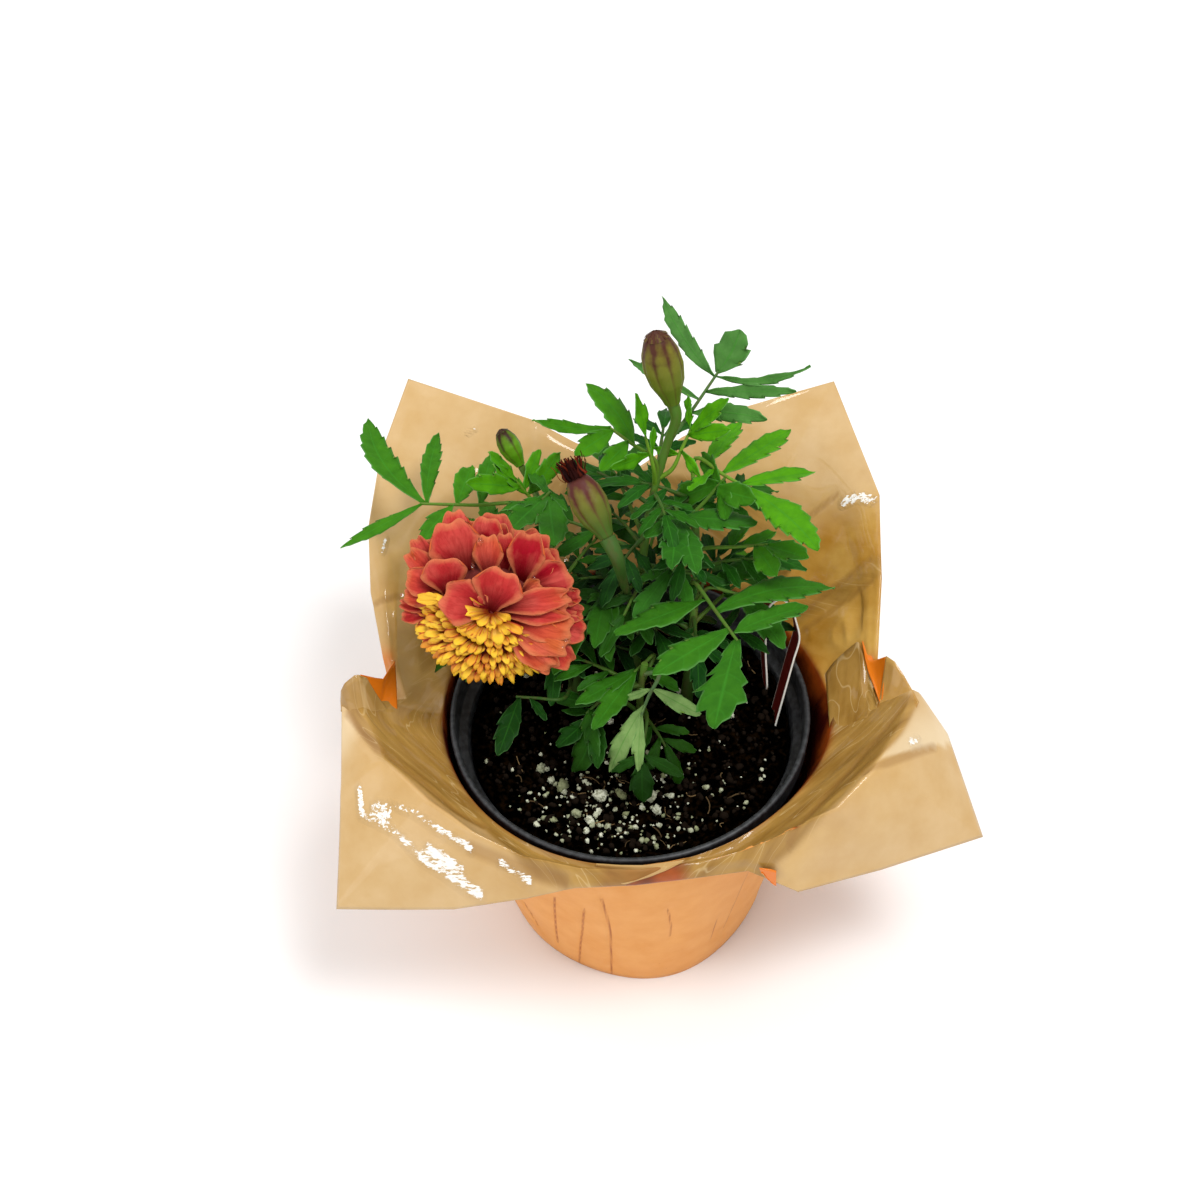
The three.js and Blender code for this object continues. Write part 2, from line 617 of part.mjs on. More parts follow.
// A plain leaf as one thin arched blade: its stalk and rib, with the leaflets cut to the rib.
function pairedLeaf(leaf) {
  const half = RIB_RADIUS;
  const lobes = (edge) => leaf.leaflets.filter(([, angle]) => Math.sign(angle) === edge)
    .sort((a, b) => a[0] - b[0])
    .flatMap((entry) => {
      const toothed = (side) => PLAIN_TEETH.slice(1, -1)
        .map((tooth) => edgeSpot(entry, tooth, side, SOFT_DROOP));
      return [[entry[0] - half, edge * half, 0], ...toothed(edge),
        edgeSpot(entry, [1, 0], 0, SOFT_DROOP), ...toothed(-edge).reverse(),
        [entry[0] + half, edge * half, 0]];
    });
  const end = leaf.leaflets.find(([, angle]) => angle === 0);
  const side = (edge) => [[-leaf.petiole, edge * half, 0], ...lobes(edge),
    ...PLAIN_TEETH.slice(1, -1).map((tooth) => edgeSpot(end, tooth, edge, SOFT_DROOP))];
  const outline = [...side(-1), edgeSpot(end, [1, 0], 0, SOFT_DROOP), ...side(1).reverse()];
  return outlinePlate(outline.map((spot) => new THREE.Vector2(spot[0], spot[1])),
    outline.map((spot) => leafSpot(leaf, ...spot)), BLADE_THICKNESS);
}

// Leaflets of a plain leaf: pairs along the rib, closing in towards a longer end leaflet.
function pairedLeaflets({ length, pairs, size }) {
  const leaflets = [[length, 0, 1.2 * size]];
  for (let i = 0; i < pairs; i += 1) {
    const share = (i + 1) / (pairs + 0.4);
    const angle = 66 - 24 * share;
    leaflets.push([share * length, angle, size * (0.8 + 0.2 * share)]);
    leaflets.push([share * length - 1, -angle, size * (0.8 + 0.2 * share)]);
  }
  return leaflets;
}

function stemCurve(stem) {
  const [x, y] = stem.hole;
  const foot = [SOIL_LEVEL - ROOT_DEPTH, SOIL_LEVEL - ROOT_DEPTH / 2, SOIL_LEVEL + 3];
  const points = [...foot.map((height) => [x, y, height]), ...stem.path].map(vector);
  if (stem.bud) points.push(...budApproach(stem.bud));
  return new THREE.CatmullRomCurve3(points, false, 'centripetal');
}

function stemPoint(curve, height) {
  const points = curve.getSpacedPoints(120);
  return points.find((point) => point.z >= height) ?? points.at(-1);
}

function placedLeaf(leaf, curve) {
  const start = stemPoint(curve, leaf.height);
  const placed = { ...leaf, start };
  if (!leaf.base) {
    const rise = radians(leaf.rise);
    const away = polar(leaf.azimuth, Math.cos(rise), Math.sin(rise));
    placed.base = start.clone().addScaledVector(away, leaf.petiole).toArray();
  }
  placed.leaflets = leaf.leaflets ?? pairedLeaflets(leaf);
  return placed;
}

function makeLeaf(leaf) {
  if (leaf.pairs) return [pairedLeaf(leaf)];
  const lastLeaflet = Math.max(...leaf.leaflets.map(([along]) => along));
  const ribEnd = Math.min(lastLeaflet, leaf.length) + 1;
  const shares = [0, 0.5, 1];
  const ribPoints = shares.map((share) => leafFrame(leaf, share * ribEnd).point);
  const rib = new THREE.CatmullRomCurve3([leaf.start, ...ribPoints], false, 'centripetal');
  const stalk = tube(rib, 4, 4, (share) => RIB_RADIUS * (1.3 - 0.5 * share));
  return [stalk, ...leaf.leaflets.map((entry) => leaflet(leaf, entry))];
}

// Calyx: the green cup under the open bloom, on the end of its own stalk.
function makeCalyxStalk(curve, { from, bend }) {
  const { ahead } = axesAlong(BLOOM.facing);
  const top = vector(BLOOM.base);
  const foot = top.clone().addScaledVector(ahead, -CALYX_LENGTH);
  const before = foot.clone().addScaledVector(ahead, -6);
  const stalk = new THREE.CatmullRomCurve3(
    [stemPoint(curve, from), vector(bend), before, foot.clone().addScaledVector(ahead, 1)]);
  const cup = new THREE.LineCurve3(foot, top);
  const cupRadius = (share) => 1.8 + 6.2 * Math.sin(Math.min(1, 1.25 * share) * Math.PI / 2);
  return [tube(stalk, 8, 6, (share) => 1.5 + 0.5 * share), tube(cup, 5, 10, cupRadius)];
}

function makePeduncle(curve, { from, bend, bud }) {
  const stalk = new THREE.CatmullRomCurve3(
    [stemPoint(curve, from), vector(bend), ...budApproach(bud)]);
  return tube(stalk, 8, 6, (share) => 1.2 + 1.3 * share * share * share);
}

// The last points of a stalk: in line with its bud, ending a small gap short of it.
function budApproach({ base, tip }) {
  const backwards = vector(base).sub(vector(tip)).normalize();
  return [BUD_NECK + GAP, GAP].map((back) => vector(base).addScaledVector(backwards, back));
}

function makeStem(stem) {
  const curve = stemCurve(stem);
  const { from, to } = STEM_SLIMS;
  const radiusAt = (share) => STEM_RADIUS
    + (SLIM_STEM_RADIUS - STEM_RADIUS) * THREE.MathUtils.clamp((share - from) / (to - from), 0, 1)
    + (stem.tipRadius - SLIM_STEM_RADIUS) * share ** BUD_SWELL;
  const leaves = stem.leaves.map((leaf) => placedLeaf(leaf, curve));
  const parts = [tube(curve, 14, STEM_SIDES, radiusAt), ...leaves.flatMap(makeLeaf)];
  (stem.blooms ?? []).forEach((bloom) => parts.push(...makeCalyxStalk(curve, bloom)));
  (stem.peduncles ?? []).forEach((peduncle) => parts.push(makePeduncle(curve, peduncle)));
  return fuse(parts);
}

// Buds: a ribbed body along an axis, its radius given in shares of the widest.
const BUD_PROFILE = [[0, 0.4], [0.12, 0.56], [0.3, 0.86], [0.52, 1], [0.72, 0.94], [0.88, 0.68],
  [1, 0.3]];
const BUD_SIDES = 10;
const BUD_RIB = 0.06;

function makeBud({ base, tip, radius }) {
  const start = vector(base);
  const axis = vector(tip).sub(start);
  const { right, up } = axesAlong(axis.toArray());
  return loft(BUD_PROFILE.map(([share, spread]) => Array.from({ length: BUD_SIDES }, (_, j) => {
    const turn = 2 * Math.PI * j / BUD_SIDES;
    const reach = radius * spread * (1 + (j % 2 ? -BUD_RIB : BUD_RIB));
    return start.clone().addScaledVector(axis, share)
      .addScaledVector(right, reach * Math.cos(turn))
      .addScaledVector(up, reach * Math.sin(turn));
  })));
}

// The faded bud's dried petals: short ragged blades round a small core past its tip.
const FADED_BLADES = 7;

function makeFadedPetals() {
  const tip = vector(FADED_BUD.tip);
  const axis = tip.clone().sub(vector(FADED_BUD.base)).normalize();
  const { right, up } = axesAlong(axis.toArray());
  const spot = (turn, radius, along) => tip.clone().addScaledVector(axis, along)
    .addScaledVector(right, radius * Math.cos(turn))
    .addScaledVector(up, radius * Math.sin(turn));
  const ring = (radius, along) => Array.from({ length: 6 }, (_, j) => (
    spot(Math.PI * j / 3, radius, along)));
  const core = loft([ring(1.6, GAP), ring(3.4, 1.2), ring(2.2, 3)]);
  const blades = Array.from({ length: FADED_BLADES }, (_, i) => {
    const turn = 2 * Math.PI * i / FADED_BLADES;
    const length = 4 + 1.6 * Math.sin(5 * i);
    const rows = [[1.2, 1, 1.1], [2.7, 0.6 * length, 1.3], [3.6, length, 0.7]];
    return plate(rows.map(([radius, along, half]) => [-1, 1].map((side) => ({
      point: spot(turn + side * half / radius, radius, along),
      normal: spot(turn, 1, 0).sub(tip),
    }))), PETAL_THICKNESS);
  });
  return fuse([core, ...blades]);
}

// Open bloom

const bloomAxes = axesAlong(BLOOM.facing);

function bloomPoint(x, y, height) {
  return vector(BLOOM.base)
    .addScaledVector(bloomAxes.right, x)
    .addScaledVector(bloomAxes.up, y)
    .addScaledVector(bloomAxes.ahead, height);
}

// A broad petal: rows from its narrow claw to its waved, notched end.
const PETAL_ROWS = [[0, 0.24], [0.45, 0.72], [0.8, 1], [1, 0.72]];
const PETAL_CUP = 0.12;

function makePetal({ angle, rise, length, width, root, wave }) {
  const turn = radians(angle);
  const rows = PETAL_ROWS.map(([share, spread]) => [-1, 0, 1].map((edge) => {
    const lift = radians(rise * (1 - 0.5 * share));
    const out = 2 + share * length * Math.cos(lift) - (edge === 0 && share === 1 ? 1.4 : 0);
    const aside = edge * spread * width / 2;
    const cup = PETAL_CUP * length * (edge * edge * spread) + wave * edge * share * 1.6;
    const height = root + share * length * Math.sin(lift) + cup * Math.cos(lift);
    const x = out * Math.cos(turn) - aside * Math.sin(turn);
    const y = out * Math.sin(turn) + aside * Math.cos(turn);
    const outward = bloomPoint(Math.cos(turn), Math.sin(turn), 0).sub(vector(BLOOM.base));
    const normal = bloomAxes.ahead.clone().multiplyScalar(Math.cos(lift))
      .addScaledVector(outward, -Math.sin(lift));
    return { point: bloomPoint(x, y, height), normal };
  }));
  return plate(rows, PETAL_THICKNESS);
}

function layerPetals(layer) {
  return Array.from({ length: layer.count }, (_, i) => makePetal({
    ...layer,
    angle: layer.from + (layer.to - layer.from) * i / (layer.count - 1),
    wave: Math.sin(2.4 * i + layer.rise),
    length: layer.length * (1 + 0.06 * Math.sin(3.7 * i)),
  }));
}

// A floret: a slim paddle that stands out of the core.
function makeFloret(angle, tilt, length) {
  const turn = radians(angle);
  const lean = radians(tilt);
  const { radius, height } = BLOOM_CORE;
  const direction = [Math.sin(lean) * Math.cos(turn), Math.sin(lean) * Math.sin(turn),
    Math.cos(lean)];
  const root = [radius * FLORET_ROOT * direction[0], radius * FLORET_ROOT * direction[1],
    2.4 + height * 0.66 * direction[2]];
  const start = bloomPoint(...root);
  const ahead = bloomPoint(...direction).sub(vector(BLOOM.base));
  const aside = bloomPoint(-Math.sin(turn), Math.cos(turn), 0).sub(vector(BLOOM.base));
  const flat = ahead.clone().cross(aside);
  const rows = [[0, 0.5, 0.8], [0.65, 1, 1.1], [1, 0.6, 0.7]];
  return loft(rows.map(([share, spread, thick]) => [[-1, -1], [1, -1], [1, 1], [-1, 1]].map(
    ([s, t]) => start.clone().addScaledVector(ahead, share * length)
      .addScaledVector(aside, s * spread * FLORET_WIDTH / 2)
      .addScaledVector(flat, t * thick))));
}

function makeCore() {
  const { radius, height, sides } = BLOOM_CORE;
  const levels = [[0.62, GAP], [1, 2.5], [0.9, 0.5 * height], [0.6, 0.85 * height],
    [0.25, height]];
  return loft(levels.map(([share, rise]) => Array.from({ length: sides }, (_, j) => {
    const turn = 2 * Math.PI * j / sides;
    return bloomPoint(share * radius * Math.cos(turn), share * radius * Math.sin(turn), rise);
  })));
}

// The wedge of the bloom that the florets fill, moved back by a margin on both its faces.
function floretWedge(margin) {
  const { from, to } = FLORET_SECTOR;
  const middle = radians((from + to) / 2);
  const setback = margin / Math.sin(radians((to - from) / 2));
  const apex = [setback * Math.cos(middle), setback * Math.sin(middle)];
  const reach = 60;
  const corner = (angle) => [apex[0] + reach * Math.cos(angle), apex[1] + reach * Math.sin(angle)];
  const outline = [apex, corner(radians(from)), corner(middle), corner(radians(to))];
  return loft([-40, 60].map((height) => outline.map(([x, y]) => bloomPoint(x, y, height))));
}

function makeBloomPetals() {
  const petals = fuse([makeCore(), ...PETAL_LAYERS.flatMap(layerPetals)]);
  return petals.subtract(floretWedge(0));
}

function makeBloomFlorets() {
  const { from, to } = FLORET_SECTOR;
  const florets = FLORET_RINGS.flatMap(({ tilt, count, length }) => {
    const margin = 16 - 0.08 * tilt;
    return Array.from({ length: count }, (_, i) => {
      const share = (i + 0.5) / count;
      const angle = from + margin + (to - from - 2 * margin) * share;
      return makeFloret(angle, tilt, length * (1 + 0.08 * Math.sin(4.1 * i + tilt)));
    });
  });
  return fuse([makeCore(), ...florets]).intersect(floretWedge(GAP));
}

// The whole potted plant

const marigold = new THREE.Group();
marigold.add(
  meshOf('pot_cover', makeCover(), COLOURS.paper, 0.35),
  meshOf('nursery_pot', makePot(), COLOURS.pot, 0.5),
  meshOf('soil', makeSoil(), COLOURS.soil, 0.95),
  meshOf('plant_label', makeLabel(), COLOURS.label, 0.4),
  ...STEMS.map((stem) => meshOf(stem.name, makeStem(stem), COLOURS.leaf, 0.6)),
  meshOf('bloom_petals', makeBloomPetals(), COLOURS.petal, 0.6),
  meshOf('bloom_florets', makeBloomFlorets(), COLOURS.floret, 0.6),
  meshOf('tall_bud', makeBud(TALL_BUD), COLOURS.bud, 0.6),
  meshOf('faded_bud', makeBud(FADED_BUD), COLOURS.bud, 0.6),
  meshOf('faded_bud_petals', makeFadedPetals(), COLOURS.fadedPetal, 0.8),
  meshOf('small_bud', makeBud(SMALL_BUD), COLOURS.bud, 0.6),
);

export default marigold;
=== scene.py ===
# A potted French marigold in pleated glossy paper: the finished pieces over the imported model.
# Lengths are in millimetres here and become metres where a mesh is made.

import math

import bpy
import numpy as np
from mathutils import Euler, Matrix


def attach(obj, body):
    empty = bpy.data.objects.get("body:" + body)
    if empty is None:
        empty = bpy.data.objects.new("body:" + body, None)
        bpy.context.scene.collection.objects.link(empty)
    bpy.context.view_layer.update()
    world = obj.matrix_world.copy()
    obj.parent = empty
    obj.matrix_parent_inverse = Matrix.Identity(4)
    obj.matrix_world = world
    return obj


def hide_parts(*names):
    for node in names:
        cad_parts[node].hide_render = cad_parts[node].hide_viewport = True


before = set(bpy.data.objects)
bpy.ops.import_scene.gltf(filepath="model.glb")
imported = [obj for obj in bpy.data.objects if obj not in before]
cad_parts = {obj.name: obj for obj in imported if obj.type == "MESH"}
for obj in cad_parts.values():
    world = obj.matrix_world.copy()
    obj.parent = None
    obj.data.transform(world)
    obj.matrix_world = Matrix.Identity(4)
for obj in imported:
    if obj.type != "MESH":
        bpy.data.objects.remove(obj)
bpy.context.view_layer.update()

MM = 0.001
UP = np.array([0.0, 0.0, 1.0])

# Nursery pot
POT_FLOOR = 1.1
POT_TOP = 86
POT_BASE_RADIUS = 40.6
POT_NECK_RADIUS = 51.4
POT_RIM_RADIUS = 55
POT_RIM_BAND = 9
POT_WALL = 1.2
DRAIN_HOLES = 6
DRAIN_RADIUS = 4
DRAIN_CIRCLE = 27

# Soil
SOIL_LEVEL = 76
SOIL_RADIUS = 49.2
ROOT_DEPTH = 28
STEM_RADIUS = 2
SLIM_STEM_RADIUS = 1.1

# Paper cover
COVER_BASE_RADIUS = 43.1
BASE_BULGE = {"azimuth": -78, "spread": 26, "width": 2.4}
COVER_CUP_RADIUS = 56
COVER_CUP_HEIGHT = 76
COVER_LIP_RADIUS = 56.8
COVER_LIP_HEIGHT = 87
RIGHT_GAP = {"azimuth": -8, "spread": 28, "width": 4.5}

# The paper's folds, front first and then counter-clockwise: azimuth at the pot's lip, then
# azimuth, radius and height of the crease and of the paper's cut edge.
COVER_FOLDS = [
    (-90, (-90, 59, 88), (-90, 61.5, 84)),
    (-73, (-73, 59.5, 88), (-73, 62.5, 84)),
    (-62, (-61, 61, 87), (-60, 64.5, 80)),
    (-55, (-55, 64, 90), (-51, 74.5, 71)),
    (-40, (-39, 74, 97), (-34, 87.5, 67)),
    (-26, (-26, 78, 100), (-20, 111, 66)),
    (-14, (-14, 82, 100), (-9, 96, 87)),
    (-5, (-5, 84, 99), (-5, 87, 97)),
    (1, (1, 71, 91), (1, 75, 86)),
    (8, (8, 73, 96), (6, 76.5, 96)),
    (20, (20, 78, 104), (20, 84, 109)),
    (34, (36, 86, 110), (34, 97, 120)),
    (52, (54, 90, 112), (54.5, 122, 128)),
    (68, (69, 86, 111), (67, 100, 124)),
    (78, (78, 82, 109), (77, 91, 116)),
    (86, (86, 80, 107), (86, 83, 109)),
    (96, (97, 82, 109), (99, 90, 115)),
    (108, (108, 86, 111), (107, 96, 123)),
    (122, (122, 92, 113), (122.5, 129, 128)),
    (138, (138, 88, 111), (134, 112, 120)),
    (148, (148, 84, 106), (146, 97, 114)),
    (157, (157, 78, 102), (156, 87, 104)),
    (168, (168, 73, 95), (168, 77, 95)),
    (177, (177, 68, 90), (177, 72, 86)),
    (184, (183, 80, 98), (182, 86, 98)),
    (198, (200, 76, 100), (199, 91, 90)),
    (212, (215, 71, 99), (212, 104, 66)),
    (226, (227, 67, 95), (228, 79, 70)),
    (240, (240, 63, 90), (242, 68, 76)),
    (255, (255, 60, 88), (254, 63, 82)),
]
# Pleat lines down the front of the cup, as azimuth and height, and how far each stands out.
CUP_LINES = [
    ([(-138.5, 34), (-134.8, 8)], 0.5),
    ([(-117, 60), (-126, 6)], 0.6),
    ([(-107, 57), (-110.6, 33.4), (-116.8, 0)], 0.8),
    ([(-101.6, 70), (-100.5, 56), (-99.6, 38.3), (-101.8, 0)], 0.9),
    ([(-97.8, 41), (-89.4, 27.3), (-75, 0)], 0.15),
    ([(-80.8, 62), (-78.6, 42.9), (-78.8, 28)], 0.5),
    ([(-59.5, 38), (-61, 13)], 0.5),
]
# Small bits of paper that stand up at the two side notches: an upper and a lower line of points,
# and shares of painted khaki shade, golden brown and the orange outside.
PAPER_TABS = [
    ([(-86.6, -3, 98.8), (-85.8, -2.7, 103), (-84.4, -2.4, 105.8), (-81, -1.7, 108.6),
      (-79.6, -1.2, 108.2), (-77.9, 0.2, 105)],
     [(-86.4, -6, 97.4), (-82, -8.6, 97.8), (-78, -10.4, 96.4), (-74, -9, 93.6), (-72, -7, 92.4),
      (-70.2, -4.4, 91.6)], (0.7, 0.3, 0)),
    ([(-79.6, 0.6, 106.2), (-76, 3.5, 100.8), (-74.1, 5, 98.4), (-72.8, 9.5, 97.4),
      (-71.5, 13.6, 96.4)],
     [(-79, -1.4, 104.2), (-77.2, -1.9, 99.6), (-75, -2.4, 94.4), (-72.6, -3.4, 92.8),
      (-70.2, -4.2, 91.6)], (0, 0, 1)),
    ([(72.5, 13.4, 97.6), (74.8, 7, 96), (77.4, 3.6, 102), (76.8, -1, 97), (75.7, -6.2, 93.8)],
     [(71.9, 13.6, 97.6), (72.3, 8, 95.8), (72.8, 4, 94.8), (74, -1, 93.8), (75, -6.6, 93.2)],
     (0, 0, 1)),
    ([(77.4, 3.6, 102.2), (79.5, 0.6, 103), (81.6, -2.4, 101.2), (83.8, -7, 99.4),
      (85.4, -11.6, 98.8)],
     [(74.4, -8.6, 92.8), (76, -11, 93.4), (78, -13, 94.6), (80, -15, 95.8), (82.4, -16.6, 97)],
     (0.2, 0.7, 0)),
    ([(61, 9.4, 88), (63.4, 11.4, 90.6), (66.9, 13, 93.6), (70.7, 13.8, 97.6), (71.7, 9, 96.6),
      (73.1, 3.2, 93.2), (74, -7.6, 93.6)],
     [(60, -12.4, 86), (62, -14.4, 87.6), (65, -13.8, 88.8), (68.7, -12.1, 90.4), (71, -10.8, 91.5),
      (72.6, -10, 92), (74, -9, 92.6)], (1, 0, 0)),
    ([(35.3, -56.6, 82.5), (36.9, -56.8, 82.4), (38.6, -57, 82.2), (40.1, -57.2, 81.6)],
     [(36.4, -56.8, 80.4), (37.9, -57, 77.4), (39.3, -57.2, 75.5), (40.5, -57.4, 74.1)],
     (0, 0, 1)),
]
# Where the painted shade on the paper's inner part ends: azimuth and radius.
SHADE_EDGE = [
    (-180, 77), (-177.5, 85), (-175, 84.6), (-163, 77.4), (-154, 70.5), (-142, 66), (-134, 62),
    (-126, 63), (-119, 64.6), (-109, 63.4), (-98, 64), (-84, 64), (-70, 65), (-60, 67),
    (-54, 68.7), (-49, 69.9), (-44, 71.4), (-38, 72.5), (-28, 75.2), (-17, 81.9), (-8, 86),
    (0, 74), (8, 73), (20, 75), (34, 80), (52, 84), (86, 80), (122, 84), (148, 78), (160, 70),
    (168, 66), (177, 69), (180, 77),
]
# Painted highlights: glinting creases in the flaps, as lines over the plan, and the half width of
# each.
GLINT_LINES = [
    ([(-79.6, -30.7), (-78.9, -37), (-71.1, -42.3), (-61.6, -50.1), (-49.9, -55.9),
      (-44.6, -58)], 0.6),
    ([(-74, -36), (-68.1, -38.6), (-54.6, -47), (-46.4, -51.4)], 0.4),
    ([(-74.5, -37), (-71.5, -40)], 1.5),
    ([(-59, -49.5), (-50, -54.5)], 1.1),
    ([(-38.3, -54.4), (-30, -58)], 0.35),
    ([(70.5, 57), (75, 56.2), (78.5, 53.5)], 1.3),
    ([(81.5, -24), (84, -22.5)], 0.6),
    ([(-76, 47), (-75, 52)], 0.2),
    ([(-49.8, 90), (-47, 91.5)], 0.2),
]
# Fold lines in the flaps, over the plan: each gets a small groove and a painted dark line of shade.
FOLD_LINES = [
    [(66.4, -35.5), (72.6, -33.2), (81, -27.5), (89.8, -21.4)],
    [(68, 60), (58.8, 57.8)],
    [(75.5, 35.8), (65.8, 34.4), (54.5, 31.3)],
    [(75.5, 29), (66.9, 28.6), (55.3, 25.9)],
    [(-77.8, 31.7), (-74, 32.6), (-70.6, 34.9)],
    [(-84.3, -7.3), (-74.1, -22), (-62.6, -30.4), (-51.4, -40), (-43.3, -43.4)],
    [(-46.9, -51.2), (-31.8, -56.5), (-20, -59.5)],
    [(44, -52), (56, -38), (70, -24), (84, -9)],
]
FOLD_HALF_WIDTH = 0.35
# Ways in which the creases of the four flaps face.
CREASE_FACINGS = (-53, 52, 136, 230)
# A layer of paper in front of the gap at the cup's lip: azimuth, radius and height of its
# upper and lower line.
FRONT_LAYER = ([(-101, 57.6, 87.6), (-94, 57.5, 87.8), (-87, 58, 88.3), (-80, 58.2, 88.8),
                (-76, 58.6, 89)],
               [(-104, 57.4, 80), (-99, 60, 83), (-92.9, 61.8, 85), (-86, 60.9, 87.1),
                (-82, 60.2, 88.1), (-77.6, 59.2, 89.1)])

# Plant label: a strip from its foot in the soil, up, over and down to its free end
LABEL = {
    "path": [(40.5, -3.4, 55.6), (42, -1.2, 62), (45.2, 3.4, 76), (49.9, 10.2, 96.3),
             (51.6, 12.7, 103.7), (50.6, 14.2, 109), (48.6, 15.8, 115), (45.8, 16.3, 117.7),
             (42.4, 16.4, 114.5), (41.5, 13.2, 102.2), (42.4, 7.9, 84.5)],
    "across": (-0.123, 0.949, -0.291), "width": 7, "foot_width": 2, "end_width": 4,
    "thickness": 0.5,
}

# Open bloom, calyx and buds
BLOOM = {"base": (-38.2, 5.6, 131.8), "facing": (0.03, -0.7, 0.71)}
CALYX_LENGTH = 16
BUD_NECK = 5
TALL_BUD = {"base": (15.7, 47.5, 167.5), "tip": (11, 51, 190.5), "radius": 5.7}
FADED_BUD = {"base": (-4.6, 12.4, 149), "tip": (-13, 23.5, 163.5), "radius": 5.1}
SMALL_BUD = {"base": (-31, 62.5, 130.5), "tip": (-36.8, 68.8, 140), "radius": 3.5}
